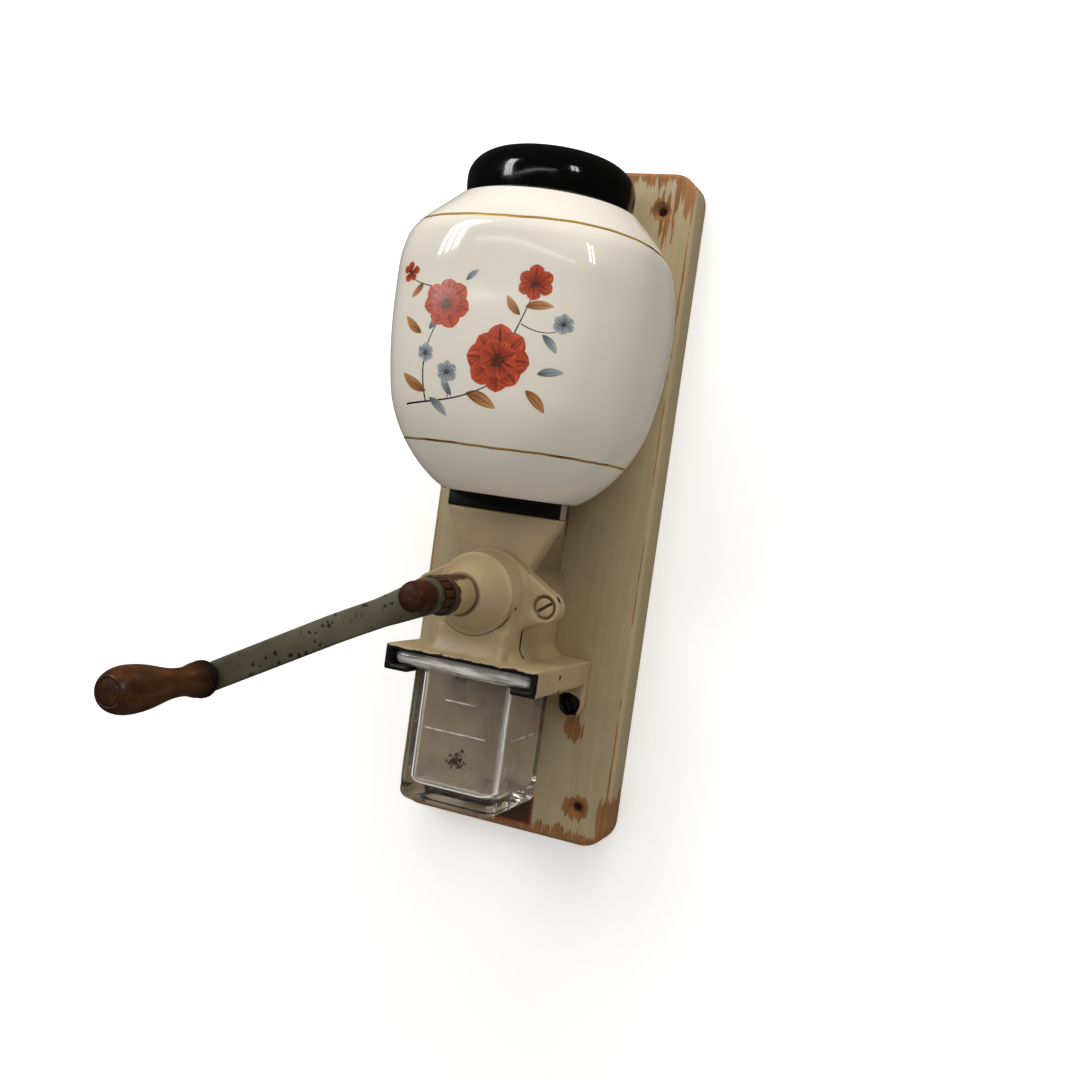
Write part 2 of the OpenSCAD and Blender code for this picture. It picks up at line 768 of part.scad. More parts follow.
// The black cap on the mouth: a rounded shell with an inner skirt
module hopper_lid() {
    r = lid_d / 2;
    rise = lid_h - lid_edge_h;
    color([0.08, 0.08, 0.08]) translate([0, -(board_t + rim_out), rim_z]) rotate_extrude() difference() {
        union() {
            polygon(concat(
                [[0, 0], [r, 0]],
                [for (i = [0:9]) [r - lid_round * (1 - cos(10 * i)), lid_edge_h + rise * sin(10 * i)]],
                [[0, lid_h]]
            ));
            translate([mouth_d / 2 - slide_gap - lid_wall, -skirt_h]) square([lid_wall, skirt_h + past]);
        }
        translate([-past, -past])
            square([mouth_d / 2 - slide_gap - lid_wall + past, lid_h - lid_wall + past]);
        translate([mouth_d / 2 - slide_gap, -past])
            square([r - lid_wall - mouth_d / 2 + slide_gap, lid_edge_h + past]);
    }
}

module rear_bush() {
    color("goldenrod") difference() {
        union() {
            rod(bush_out, back_wall, bush_d);
            rod(back_wall, back_wall + bush_flange_t, bush_flange_d);
        }
        rod(bush_out - past, back_wall + bush_flange_t + past, journal_d + 2 * run_gap);
    }
}

// Radius of the burr cone at a station
function cone_r(out) =
    (cone_small_d + (cone_big_d - cone_small_d) * (out - cone_start) / (ring_end - cone_start)) / 2;

// The fixed burr: a ring that is wide where the beans come in and close to the cone at its fine end
module outer_burr() {
    fine_start = ring_start + ring_len / 2;
    color("dimgray") difference() {
        rod(ring_start, ring_end, ring_d);
        on_axis(fine_start) cylinder(
            h = ring_end - fine_start + past,
            r1 = cone_r(fine_start) + burr_gap, r2 = cone_r(ring_end + past) + burr_gap);
        on_axis(ring_start - past) cylinder(
            h = fine_start - ring_start + 2 * past,
            r1 = feed_d / 2 + past, r2 = cone_r(fine_start) + burr_gap - past / 2);
        for (i = [0:ring_flutes - 1]) on_axis(ring_start - past) rotate(i * 360 / ring_flutes)
            translate([cone_r(fine_start) - flute_depth, -flute_w / 2, 0])
                cube([2 * flute_depth, flute_w, ring_len + 2 * past]);
    }
}

// The turning burr: a fluted cone on the shaft
module inner_burr() {
    color("slategray") difference() {
        on_axis(cone_start) cylinder(h = ring_end - cone_start, d1 = cone_small_d, d2 = cone_big_d);
        rod(cone_start - past, ring_end + past, shaft_d + 2 * run_gap);
        for (i = [0:cone_flutes - 1]) on_axis(cone_start - past) rotate(i * 360 / cone_flutes)
            translate([cone_small_d / 2 - flute_depth, 0, 0]) rotate([0, flute_lean, 0])
                translate([0, -flute_w / 2, 0]) cube([3 * flute_depth, flute_w, 2 * (ring_end - cone_start)]);
        burr_pin_hole();
    }
}

module burr_pin_hole() {
    on_axis(pin_out) rotate([0, 90, 0]) cylinder(h = 2 * cone_big_d, d = pin_d + 2 * run_gap, center = true);
}

module burr_pin() {
    color("silver") on_axis(pin_out) rotate([0, 90, 0]) cylinder(h = pin_len, d = pin_d, center = true);
}

// The spring that pushes the cone out of the bush: one round wire wound round the shaft
module thrust_spring() {
    steps = 12;
    sides = 6;
    coil_r = (shaft_d + spring_wire) / 2 + spring_clear;
    climb = spring_wire + spring_open;
    color("silver") loft([
        for (i = [0:spring_turns * steps])
            let (a = 360 * i / steps)
            [for (k = [0:sides - 1])
                let (
                    b = 360 * k / sides,
                    r = coil_r + spring_wire / 2 * cos(b),
                    out = spring_start + spring_wire / 2 + climb * i / steps + spring_wire / 2 * sin(b)
                )
                [r * cos(a), -(board_t + out), shaft_z + r * sin(a)]
            ]
    ]);
}

// The steel shaft: rear journal, body, square for the arm and stud for the nut
module drive_shaft() {
    color("slategray") difference() {
        union() {
            rod(bush_out + slide_gap, cone_start, journal_d);
            rod(cone_start - past, arm_start, shaft_d);
            on_axis(arm_start - past) linear_extrude(arm_t + past - fit_gap)
                square(drive_square, center = true);
            rod(arm_start, stud_tip, stud_d);
        }
        burr_pin_hole();
    }
}

// The front bearing: a sleeve whose collar stands out of the nose
module bearing_sleeve() {
    color("wheat") difference() {
        union() {
            rod(discharge_end, nose_out + past, spigot_d);
            rod(nose_out, sleeve_end, sleeve_d);
        }
        rod(discharge_end - past, sleeve_end + past, shaft_d + 2 * run_gap);
    }
}

// The notched nut that sets how fine the mill grinds
module adjusting_nut() {
    color("saddlebrown") difference() {
        rod(adjuster_start, adjuster_start + adjuster_len, adjuster_d);
        rod(adjuster_start - past, adjuster_start + adjuster_len + past, shaft_d + 2 * run_gap);
        for (i = [0:notches - 1]) on_axis(adjuster_start - past) rotate(i * 360 / notches)
            translate([adjuster_d / 2, 0, 0]) cylinder(h = adjuster_len + 2 * past, d = notch_d);
    }
}

module crank_washer() {
    color("dimgray") difference() {
        rod(washer_start, arm_start, adjuster_d - 1);
        rod(washer_start - past, arm_start + past, shaft_d + 2 * run_gap);
    }
}

// Front view of the crank arm along its length
module arm_outline() {
    hub = hub_d / 2;
    mid = arm_w / 2;
    end = arm_end_w / 2;
    circle(hub);
    translate([crank_r, 0]) circle(end);
    polygon([
        [0, -hub], [hub_blend, -mid], [crank_r, -end],
        [crank_r, end], [hub_blend, mid], [0, hub]
    ]);
}

// Side view of the crank arm: flat at the hub, a gentle step outwards, flat at the handle
function arm_rise(x) = arm_step * ease((x - hub_d / 2) / (arm_bend - hub_d / 2));
module arm_side() {
    along = [-hub_d, for (i = [0:10]) hub_d / 2 + (arm_bend - hub_d / 2) * i / 10, crank_r + arm_end_w];
    polygon(concat(
        [for (x = along) [x, arm_rise(x)]],
        [for (i = [len(along) - 1:-1:0]) [along[i], arm_rise(along[i]) + arm_t]]
    ));
}

module crank_arm() {
    color("darkslategray") difference() {
        on_crank(arm_start) intersection() {
            linear_extrude(arm_step + arm_t) arm_outline();
            rotate([90, 0, 0]) linear_extrude(2 * hub_d, center = true) arm_side();
        }
        on_axis(arm_start - past) linear_extrude(arm_t + 2 * past)
            square(drive_square + 2 * fit_gap, center = true);
        on_handle(arm_start) cylinder(h = arm_step + arm_t + past, d = spindle_d + 2 * fit_gap);
    }
}

module crank_nut() {
    color("saddlebrown") difference() {
        on_axis(nut_start) union() {
            rotate(nut_turn) cylinder(h = nut_h - nut_dome, d = nut_w / cos(30), $fn = 6);
            translate([0, 0, nut_h - nut_dome]) cylinder(h = nut_dome, d1 = nut_w, d2 = nut_w - 2 * nut_dome);
        }
        rod(nut_start - past, nut_start + nut_h + past, stud_d + 2 * run_gap);
    }
}

module handle_rod(from, to, d) { on_handle(from) cylinder(h = to - from, d = d); }

// The fixed pin of the handle, riveted over behind the arm and headed inside the grip
module handle_spindle() {
    back = arm_start + arm_step;
    color("gray") {
        handle_rod(back - rivet_t, back, rivet_d);
        handle_rod(back - past, head_start + past, spindle_d);
        handle_rod(head_start, head_start + spindle_head_t, spindle_head_d);
    }
}

module handle_ferrule() {
    color([0.16, 0.13, 0.11]) difference() {
        on_handle(grip_start) rotate_extrude() polygon([
            [0, 0], [flare_d / 2 - ferrule_taper, 0], [flare_d / 2 + ferrule_proud, ferrule_len / 2],
            [flare_d / 2 + ferrule_proud, ferrule_len], [0, ferrule_len]
        ]);
        handle_rod(grip_start - past, grip_start + ferrule_len + past, spindle_d + 2 * run_gap);
    }
}

// Half profile of the grip, from the ferrule to its round end
function grip_profile() =
    let (
        flare = flare_d / 2,
        waist = waist_d / 2,
        belly = grip_d / 2,
        rim = plug_d / 2 + past,
        swell_len = belly_at - waist_at,
        tip_len = grip_len - belly_at,
        neck = [[flare, 0], [flare, 0.4 * waist_at], [waist, 0.5 * waist_at], [waist, waist_at]],
        swell = [
            [waist, waist_at], [waist, waist_at + 0.4 * swell_len],
            [belly, belly_at - 0.45 * swell_len], [belly, belly_at]
        ],
        tip = [[belly, belly_at], [belly, belly_at + 0.6 * tip_len], [rim + past, grip_len], [rim, grip_len]]
    )
    concat(
        [for (i = [0:7]) curve(neck, i / 7)],
        [for (i = [1:8]) curve(swell, i / 8)],
        [for (i = [1:7]) curve(tip, i / 7)]
    );

module handle_grip() {
    color("saddlebrown") difference() {
        on_handle(grip_start + ferrule_len) rotate_extrude()
            polygon(concat([[0, 0]], grip_profile(), [[0, grip_len]]));
        handle_rod(grip_start, plug_start, spindle_d + 2 * run_gap);
        handle_rod(head_start - slide_gap, plug_start + past, spindle_head_d + 2 * slide_gap);
        handle_rod(plug_start, plug_start + plug_len + past, plug_d + 2 * fit_gap);
    }
}

module handle_plug() {
    color("sienna") handle_rod(plug_start, plug_start + plug_len + plug_proud, plug_d);
}

// A box with round upright corners and a rounded bottom, open to be cut on top
module glass_block(w, d, h, r) {
    hull() for (x = [-1, 1], y = [-1, 1]) translate([x * (w / 2 - r), y * (d / 2 - r), 0]) {
        translate([0, 0, -h + r]) sphere(r, $fn = 32);
        translate([0, 0, -r]) cylinder(h = r, r = r, $fn = 32);
    }
}

// The square glass that catches the coffee, hung by its flange in the holder's channel
module receiver_glass() {
    flange_top = shaft_z - holder_drop - holder_top_t - slide_gap;
    flange_h = holder_h - holder_top_t - lip_t - 2 * slide_gap;
    flange_half = holder_half - holder_wall - slide_gap;
    flange_back = cast_wall + slide_gap;
    flange_front = holder_out - rim_inset;
    middle = glass_back + glass_d / 2;
    inner_r = glass_r - glass_wall / 2;
    color([0.8, 0.86, 0.86, 0.5]) difference() {
        union() {
            translate([-flange_half, -(board_t + flange_front), flange_top - flange_h])
                cube([2 * flange_half, flange_front - flange_back, flange_h]);
            translate([0, -(board_t + middle), flange_top - flange_h / 2])
                glass_block(glass_w, glass_d, glass_h + flange_h / 2, glass_r);
        }
        translate([0, -(board_t + middle), flange_top + past]) glass_block(
            glass_w - 2 * glass_wall, glass_d - 2 * glass_wall,
            glass_h + flange_h + past - glass_base, inner_r);
    }
}

backboard();
rear_housing();
front_housing();
housing_screws();
lug_screws();
spine_bolts();
hopper_gasket();
hopper();
hopper_washers();
hopper_screws();
hopper_lid();
rear_bush();
outer_burr();
inner_burr();
burr_pin();
thrust_spring();
drive_shaft();
bearing_sleeve();
adjusting_nut();
crank_washer();
crank_arm();
crank_nut();
handle_spindle();
handle_ferrule();
handle_grip();
handle_plug();
receiver_glass();
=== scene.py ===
import math
from functools import partial

import bmesh
import bpy
import numpy as np
from mathutils import Matrix, Vector


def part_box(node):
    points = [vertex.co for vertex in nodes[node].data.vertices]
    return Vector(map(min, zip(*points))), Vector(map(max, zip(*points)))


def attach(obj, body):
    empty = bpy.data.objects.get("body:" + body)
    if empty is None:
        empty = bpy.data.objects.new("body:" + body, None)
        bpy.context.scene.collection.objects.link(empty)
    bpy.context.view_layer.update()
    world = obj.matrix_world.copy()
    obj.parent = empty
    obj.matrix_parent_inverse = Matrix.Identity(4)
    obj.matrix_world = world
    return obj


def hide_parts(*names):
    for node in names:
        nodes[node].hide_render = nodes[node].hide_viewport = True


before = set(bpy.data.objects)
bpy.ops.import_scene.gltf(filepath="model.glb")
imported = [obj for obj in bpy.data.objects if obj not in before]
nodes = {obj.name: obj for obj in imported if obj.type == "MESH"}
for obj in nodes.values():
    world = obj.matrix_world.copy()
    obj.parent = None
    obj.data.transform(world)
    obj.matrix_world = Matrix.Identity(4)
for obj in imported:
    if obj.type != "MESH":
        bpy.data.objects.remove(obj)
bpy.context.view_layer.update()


# THE ROOM
# The mill hangs on a white wall in daylight. Tall windows stand on the left and on the right, and the
# picture is taken from the user's right with the camera held a little askew.
scene = bpy.context.scene
scene.view_settings.view_transform = "Standard"
scene.view_settings.look = "None"

yaw, pitch, roll = 0.3870, -0.0383, 0.1403
forward = Vector((-math.sin(yaw) * math.cos(pitch), math.cos(yaw) * math.cos(pitch), math.sin(pitch)))
level = Vector((math.cos(yaw), math.sin(yaw), 0))
upright = level.cross(forward)
across = level * math.cos(roll) + upright * math.sin(roll)
above = upright * math.cos(roll) - level * math.sin(roll)
camera_data = bpy.data.cameras.new("camera")
camera_data.lens = 40.0
camera_data.sensor_width = 36.0
camera_data.shift_x = -0.0031
camera_data.shift_y = -0.0019
camera = bpy.data.objects.new("camera", camera_data)
scene.collection.objects.link(camera)
camera.matrix_world = Matrix.Translation((0.25206, -0.62608, 0.00527)) @ Matrix(
    (across, above, -forward)).transposed().to_4x4()
scene.camera = camera

# Panes of light: turn to the right of the user's line, rise and roll in degrees, distance, width, height, watts.
# The narrow panes only glint, and the wide ones only fall as soft light.
mill_middle = Vector((0.0, -0.06, 0.05))
for name, turn, rise, roll, far, width, height, watts in (
        ("left pane", -42, 24, 0, 1.8, 0.07, 0.95, 4.0), ("middle pane", -38, 24, 0, 1.8, 0.07, 0.95, 4.0),
        ("inner pane", -34, 24, 0, 1.8, 0.07, 0.95, 4.0), ("right pane", 48, 30, 0, 1.8, 0.08, 0.55, 2.6),
        ("far right pane", 54, 30, 0, 1.8, 0.08, 0.55, 2.6), ("sill", -1, 14, 8, 2.2, 2.2, 0.03, 1.6),
        ("left window", -40, 28, 0, 1.8, 0.5, 1.0, 9.0), ("right window", 46, 34, 0, 1.8, 0.6, 1.0, 4.5),
        ("skylight", 6, 72, 0, 1.5, 1.6, 1.1, 20.0), ("light behind", 205, 35, 0, 1.6, 1.0, 1.0, 10.0)):
    data = bpy.data.lights.new(name, "AREA")
    data.shape = "RECTANGLE"
    data.size, data.size_y, data.energy = width, height, watts
    pane = bpy.data.objects.new(name, data)
    scene.collection.objects.link(pane)
    glints = min(width, height) < 0.1
    pane.visible_diffuse, pane.visible_glossy = not glints, glints
    turn, rise = math.radians(turn), math.radians(rise)
    stand = mill_middle + far * Vector((
        math.cos(rise) * math.sin(turn), -math.cos(rise) * math.cos(turn), math.sin(rise)))
    aim = (mill_middle - stand).to_track_quat("-Z", "Y").to_matrix().to_4x4()
    aim = aim @ Matrix.Rotation(math.radians(roll), 4, "Z")
    pane.matrix_world = Matrix.Translation(stand) @ aim


def linear(colour):
    """Linear RGBA of an sRGB hex colour."""
    parts = [int(colour[i:i + 2], 16) / 255 for i in (1, 3, 5)]
    return [p / 12.92 if p <= 0.04045 else ((p + 0.055) / 1.055) ** 2.4 for p in parts] + [1.0]


def add_node(tree, kind, *inputs, **settings):
    """Adds a node with its settings. Its inputs come in order, or by key in a dict, each a value or a link.

    A kind in capitals is an operation on numbers, and a node that is given as an input stands for its result."""
    if kind.isupper():
        kind, settings["operation"] = "Math", kind
    node = tree.nodes.new(kind if "Node" in kind else "ShaderNode" + kind)
    for name, value in settings.items():
        setattr(node, name, value)
    keyed = inputs[0] if inputs and isinstance(inputs[0], dict) else dict(enumerate(inputs))
    for key, value in keyed.items():
        socket = node.inputs[key]
        if isinstance(value, bpy.types.Node):
            value = next(output for output in value.outputs if output.enabled)
        if isinstance(value, bpy.types.NodeSocket):
            tree.links.new(value, socket)
        elif isinstance(value, str) and value.startswith("#"):
            socket.default_value = linear(value)
        else:
            socket.default_value = value
    return node


def new_material(name):
    """A material with an empty tree, and the function that adds nodes to it."""
    material = bpy.data.materials.new(name)
    material.use_nodes = True
    material.node_tree.nodes.clear()
    return material, partial(add_node, material.node_tree)


# The room's own light is soft on paint and dark in mirrors, as in a room with few windows
world = bpy.data.worlds.new("white room")
world.use_nodes = True
scene.world = world
room = world.node_tree
room.nodes.clear()
ray_kind = add_node(room, "LightPath")
mirror_dim = add_node(room, "MapRange", {0: ray_kind.outputs["Is Glossy Ray"], 3: 0.5, 4: 0.04})
room_light = add_node(room, "Background", {"Color": "#f6f4f0", "Strength": mirror_dim})
room_seen = add_node(room, "Background", {"Color": "#ffffff", "Strength": 1.0})
room_mix = add_node(room, "MixShader", ray_kind.outputs["Is Camera Ray"], room_light, room_seen)
add_node(room, "OutputWorld", {"Surface": room_mix})

wall_half = 3.0
wall_mesh = bpy.data.meshes.new("white wall")
wall_mesh.from_pydata(
    [(x * wall_half, 0.002, z * wall_half) for x, z in ((-1, -1), (1, -1), (1, 1), (-1, 1))], [], [(0, 1, 2, 3)])
wall = bpy.data.objects.new("white_wall", wall_mesh)
scene.collection.objects.link(wall)
# White emulsion paint: matt and bright in front. It is one sided, so the board's back shows from behind.
wall_paint, add = new_material("white emulsion")
wall_side = add("NewGeometry")
wall_matt = add("BsdfDiffuse", {"Color": "#ffffff"})
wall_glow = add("Emission", {"Color": "#ffffff", "Strength": 0.3})
wall_white = add("AddShader", wall_matt, wall_glow)
wall_gone = add("BsdfTransparent")
add("OutputMaterial", add("MixShader", wall_side.outputs["Backfacing"], wall_white, wall_gone))
wall_mesh.materials.append(wall_paint)
wall.visible_shadow = False
wall.visible_diffuse = False
wall.visible_glossy = False


# BACKBOARD
# A softwood board with round corners and eased arrises, brushed with khaki oil paint. The paint has worn
# down to brown wood on the ends, at the wall screws, along the arrises and below the casting's lugs.
MM = 0.001
board_t = -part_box("backboard")[0].y / MM


def close_material(add, colour, rough, bump=None, more=None):
    """Ends a material in a principled shader, with more inputs where it has them.

    rough is a pattern and the roughness at its low and high end, or a node. bump is a height, the bump's strength
    and its depth in millimetres."""
    surface = {"Base Color": colour, "Roughness": rough, **(more or {})}
    if isinstance(rough, tuple):
        pattern, smooth, dull = rough
        surface["Roughness"] = add("MapRange", {0: pattern, 3: smooth, 4: dull})
    if bump:
        height, strength, depth = bump
        surface["Normal"] = add("Bump", {"Strength": strength, "Distance": depth * MM, "Height": height})
    add("OutputMaterial", add("BsdfPrincipled", surface))


def link_piece(name, mesh, material, body, *replaced):
    """Puts a finished mesh in the scene as a piece that rides on a body."""
    piece = bpy.data.objects.new(name, mesh)
    scene.collection.objects.link(piece)
    mesh.materials.clear()
    mesh.materials.append(material)
    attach(piece, body)
    if replaced:
        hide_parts(*replaced)
    return piece


def smoothed(mesh, angle):
    """Shades a mesh smooth, apart from edges sharper than an angle."""
    mesh.polygons.foreach_set("use_smooth", [True] * len(mesh.polygons))
    mesh.set_sharp_from_angle(angle=math.radians(angle))
    return mesh


def softened(node, width, segments=2, angle=30):
    """A copy of a machined piece's mesh with its sharp edges rounded over."""
    edit = bmesh.new()
    edit.from_mesh(nodes[node].data)
    bmesh.ops.remove_doubles(edit, verts=edit.verts, dist=0.005 * MM)
    bmesh.ops.dissolve_limit(edit, angle_limit=math.radians(0.5), verts=edit.verts, edges=edit.edges)
    sharp = [e for e in edit.edges if len(e.link_faces) == 2 and e.calc_face_angle(0) > math.radians(angle)]
    bmesh.ops.bevel(edit, geom=sharp, offset=width * MM, segments=segments, profile=0.5,
                    affect="EDGES", clamp_overlap=True)
    bmesh.ops.triangulate(edit, faces=[f for f in edit.faces if len(f.verts) > 4])
    mesh = bpy.data.meshes.new(node)
    edit.to_mesh(mesh)
    edit.free()
    return smoothed(mesh, 32)


# Oil paint on softwood: satin khaki with brush streaks up the board, chipped through to brown wood.
board_paint, add = new_material("khaki oil paint on softwood")
place = add("TexCoord").outputs["Object"]
split = add("SeparateXYZ", place)
brush = add("Mapping", {0: place, "Scale": (1 / (3.3 * MM), 1 / (16 * MM), 1 / (62 * MM))})
brushed = add("TexNoise", {"Vector": brush, "Scale": 1.0, "Detail": 4.0})
patches = add("TexNoise", {"Vector": place, "Scale": 1 / (33 * MM), "Detail": 5.0})
streaks = add("Mapping", {0: place, "Scale": (1 / (2.4 * MM), 1 / (5 * MM), 1 / (24 * MM))})
streaked = add("TexNoise", {"Vector": streaks, "Scale": 1.0, "Detail": 6.0, "Roughness": 0.6})
side_x = add("ABSOLUTE", split.outputs[0])
side_z = add("ABSOLUTE", split.outputs[2])
mirrored = add("CombineXYZ", {0: side_x, 2: split.outputs[2]})
wear = add("MapRange", side_z, 0.166, 0.1815, 0.0, 0.6)
# Worn places on each half of the board: x, z, half width, half height in millimetres, depth of wear
for x, z, half_w, half_h, depth in (
        (45, 161, 10.5, 10.5, 0.62), (48, 158, 11, 33, 0.44), (56, 168, 14, 26, 0.40), (45, -161, 11.5, 11.5, 0.70),
        (62, -165, 11, 22, 0.62), (30, -177, 26, 10, 0.50), (37, -119, 12, 13, 0.62), (16, -12, 3.5, 20, 0.40)):
    away = add("VectorMath", mirrored, (x * MM, 0, z * MM), operation="SUBTRACT")
    squeezed = add("VectorMath", away, (1 / (half_w * MM), 0, 1 / (half_h * MM)), operation="MULTIPLY")
    far = add("VectorMath", squeezed, operation="LENGTH")
    spot = add("MapRange", far, 0.25, 1.0, depth, 0.0)
    wear = add("MAXIMUM", wear, spot)
# A thin bare line runs along the arris
arris_off = add("SUBTRACT", side_x, 61.6 * MM)
arris_far = add("ABSOLUTE", arris_off)
arris = add("MapRange", arris_far, 0.0002, 0.001, 0.42, 0.0)
wear = add("MAXIMUM", wear, arris)
bared = add("ADD", wear, streaked)
chipped = add("MapRange", bared, 0.84, 0.89, 0.0, 1.0)
paint_tone = add("Mix", {0: brushed, 6: "#a4926f", 7: "#b7a581"}, data_type="RGBA")
dirt = add("MapRange", patches, 0.5, 0.78, 0.0, 0.35)
paint_dirty = add("Mix", {0: dirt, 6: paint_tone, 7: "#97835f"}, data_type="RGBA")
wood_tone = add("Mix", {0: brushed, 6: "#6a3f1d", 7: "#b07d49"}, data_type="RGBA")
board_colour = add("Mix", {0: chipped, 6: paint_dirty, 7: wood_tone}, data_type="RGBA")
board_depth = add("SUBTRACT", brushed, chipped)
close_material(add, board_colour, (chipped, 0.45, 0.8), (board_depth, 0.3, 0.4))
link_piece("board", softened("backboard", 0.9, 3, 20), board_paint, "mill", "backboard")


# BLANK PLATE
# A small lacquered tin plate, pinned flat to the board's foot. It is plain dark brown, with a raised and
# rubbed red border.
plate_left, plate_right, plate_low, plate_high = -2.0, 20.2, -176.6, -160.6
plate_t, border, border_rise = 0.4, 1.1, 0.12
plate_edit = bmesh.new()
for x0, x1, z0, z1, proud in (
        (plate_left + 0.2, plate_right - 0.2, plate_low + 0.2, plate_high - 0.2, plate_t),
        (plate_left, plate_right, plate_low, plate_low + border, plate_t + border_rise),
        (plate_left, plate_right, plate_high - border, plate_high, plate_t + border_rise),
        (plate_left, plate_left + border, plate_low + border, plate_high - border, plate_t + border_rise),
        (plate_right - border, plate_right, plate_low + border, plate_high - border, plate_t + border_rise)):
    size = Vector((x1 - x0, proud, z1 - z0)) * MM
    centre = Vector(((x0 + x1) / 2, -(board_t + proud / 2), (z0 + z1) / 2)) * MM
    bmesh.ops.create_cube(plate_edit, size=1.0, matrix=Matrix.Translation(centre) @ Matrix.Diagonal(size).to_4x4())
bmesh.ops.bevel(
    plate_edit, geom=plate_edit.edges[:], offset=0.05 * MM, segments=1, affect="EDGES", clamp_overlap=True)
plate_mesh = bpy.data.meshes.new("blank plate")
plate_edit.to_mesh(plate_mesh)
plate_edit.free()
# Lacquered tin: dark brown and slightly glossy, with a rubbed red border.
tin, add = new_material("lacquered tin")
place = add("TexCoord").outputs["Object"]
split = add("SeparateXYZ", place)
rub = add("TexNoise", {"Vector": place, "Scale": 1 / (3.8 * MM), "Detail": 5.0})
raised = add("LESS_THAN", split.outputs[1], -(board_t + plate_t + border_rise / 2) * MM)
field = add("Mix", {0: rub, 6: "#2a190d", 7: "#5b4127"}, data_type="RGBA")
red = add("Mix", {0: rub, 6: "#7d2413", 7: "#a24427"}, data_type="RGBA")
tin_colour = add("Mix", {0: raised, 6: field, 7: red}, data_type="RGBA")
close_material(add, tin_colour, (rub, 0.28, 0.5))
plate = link_piece("blank_plate", plate_mesh, tin, "mill")


# CASTINGS
# Two iron castings that meet on an eared joint and hold the burrs and the glass. Sand casting leaves round
# corners everywhere, and thick cream paint has filled them further. Two bolts hold the rear one on the board.
def cast(node, voxel, passes, keep, zones):
    """A copy of a casting's mesh with cast, paint filled corners, and softer ones in some zones."""
    edit = bmesh.new()
    edit.from_mesh(nodes[node].data)
    bmesh.ops.remove_doubles(edit, verts=edit.verts, dist=0.005 * MM)
    rough = bpy.data.meshes.new(node + " pattern")
    edit.to_mesh(rough)
    edit.free()
    for step in ("sand", "fettle"):
        pattern = bpy.data.objects.new(node + " " + step, rough)
        scene.collection.objects.link(pattern)
        if step == "sand":
            sand = pattern.modifiers.new("sand", "REMESH")
            sand.mode = "VOXEL"
            sand.voxel_size = voxel * MM
        else:
            spots = np.empty(len(rough.vertices) * 3)
            rough.vertices.foreach_get("co", spots)
            spots = spots.reshape(-1, 3) / MM
            for low, high, feather, rubs in zones:
                inside = np.minimum(spots - np.array(low), np.array(high) - spots).min(axis=1)
                weight = np.clip(inside / feather, 0, 1)
                group = pattern.vertex_groups.new(name="zone")
                for share in np.linspace(0.1, 1.0, 10):
                    chosen = np.nonzero(np.abs(weight - share) <= 0.05)[0]
                    if len(chosen):
                        group.add(chosen.tolist(), float(share), "REPLACE")
                rub = pattern.modifiers.new("rub", "SMOOTH")
                rub.factor, rub.iterations, rub.vertex_group = 0.5, rubs, group.name
            fettle = pattern.modifiers.new("fettle", "SMOOTH")
            fettle.factor, fettle.iterations = 0.5, passes
            thin = pattern.modifiers.new("thin", "DECIMATE")
            thin.ratio = keep
        rough = bpy.data.meshes.new_from_object(pattern.evaluated_get(bpy.context.evaluated_depsgraph_get()))
        bpy.data.objects.remove(pattern)
    rough.name = node
    rough.polygons.foreach_set("use_smooth", [True] * len(rough.polygons))
    return rough


shaft_z = -49.5
# Oil paint on cast iron: satin cream, a little lumpy, chipped to black iron at the holder's mouth and the
# lugs, with dirt in the joints and rust at the nose. Painted shade darkens the holder's channel, a ring
# under the barrel's rim and the nooks beside the funnel.
cast_paint, add = new_material("cream oil paint on cast iron")
place = add("TexCoord").outputs["Object"]
split = add("SeparateXYZ", place)
mottle = add("TexNoise", {"Vector": place, "Scale": 1 / (22 * MM), "Detail": 6.0, "Roughness": 0.6})
lumps = add("TexNoise", {"Vector": place, "Scale": 1 / (3.8 * MM), "Detail": 3.0})
bits = add("TexNoise", {"Vector": place, "Scale": 1 / (2.4 * MM), "Detail": 4.0})
scabs = add("TexNoise", {"Vector": place, "Scale": 1 / (6.7 * MM), "Detail": 3.0})
side_x = add("ABSOLUTE", split.outputs[0])
mirrored = add("CombineXYZ", side_x, split.outputs[1], split.outputs[2])
# The mouth of the holder is black on its lips and cheeks, and half bare along the top edge
mouth_depth = add("MapRange", split.outputs[1], -0.0915, -0.0932, 0.0, 1.0)
mouth_low = add("MapRange", split.outputs[2], -0.0818, -0.0836, 0.16, 0.62)
mouth_under = add("MapRange", split.outputs[2], -0.0795, -0.0806, 0.0, 1.0)
mouth = add("MULTIPLY", mouth_depth, mouth_low)
wear = add("MULTIPLY", mouth, mouth_under)
# Inside the channel and on its lips the iron is near black: partly bare iron where the paint is worn off, partly
# painted shade in the channel's hollow
channel_x = add("MapRange", side_x, 0.0389, 0.0385, 0.0, 0.62)
channel_z = add("COMPARE", split.outputs[2], -89.3 * MM, 5.7 * MM)
channel_bare_and_shade = add("MULTIPLY", channel_x, channel_z)
wear = add("MAXIMUM", wear, channel_bare_and_shade)
# Chips: place and radius in millimetres, depth
for x, y, z, radius, depth in (
        (33.5, -23, -106, 8.5, 0.60), (42, -62.5, -86.5, 1.5, 0.60), (42, -61.6, -94, 1.7, 0.60),
        (21.2, -80.5, -54.5, 2.0, 0.46), (22.6, -75, -55.4, 1.9, 0.46), (20.9, -83, -44, 1.7, 0.46),
        (21.9, -73, -34.5, 3.0, 0.44),
        (39, -70, -47, 3, 0.22), (32, -70, -8, 3, 0.32)):
    away = add("VectorMath", mirrored, (x * MM, y * MM, z * MM), operation="DISTANCE")
    spot = add("MapRange", away, radius * 0.5 * MM, radius * MM, depth, 0.0)
    wear = add("MAXIMUM", wear, spot)
# The wear mask here also holds the channel's painted shade, which comes out near black with the chips
bared = add("ADD", wear, scabs)
chipped = add("MapRange", bared, 0.76, 0.79, 0.0, 1.0)
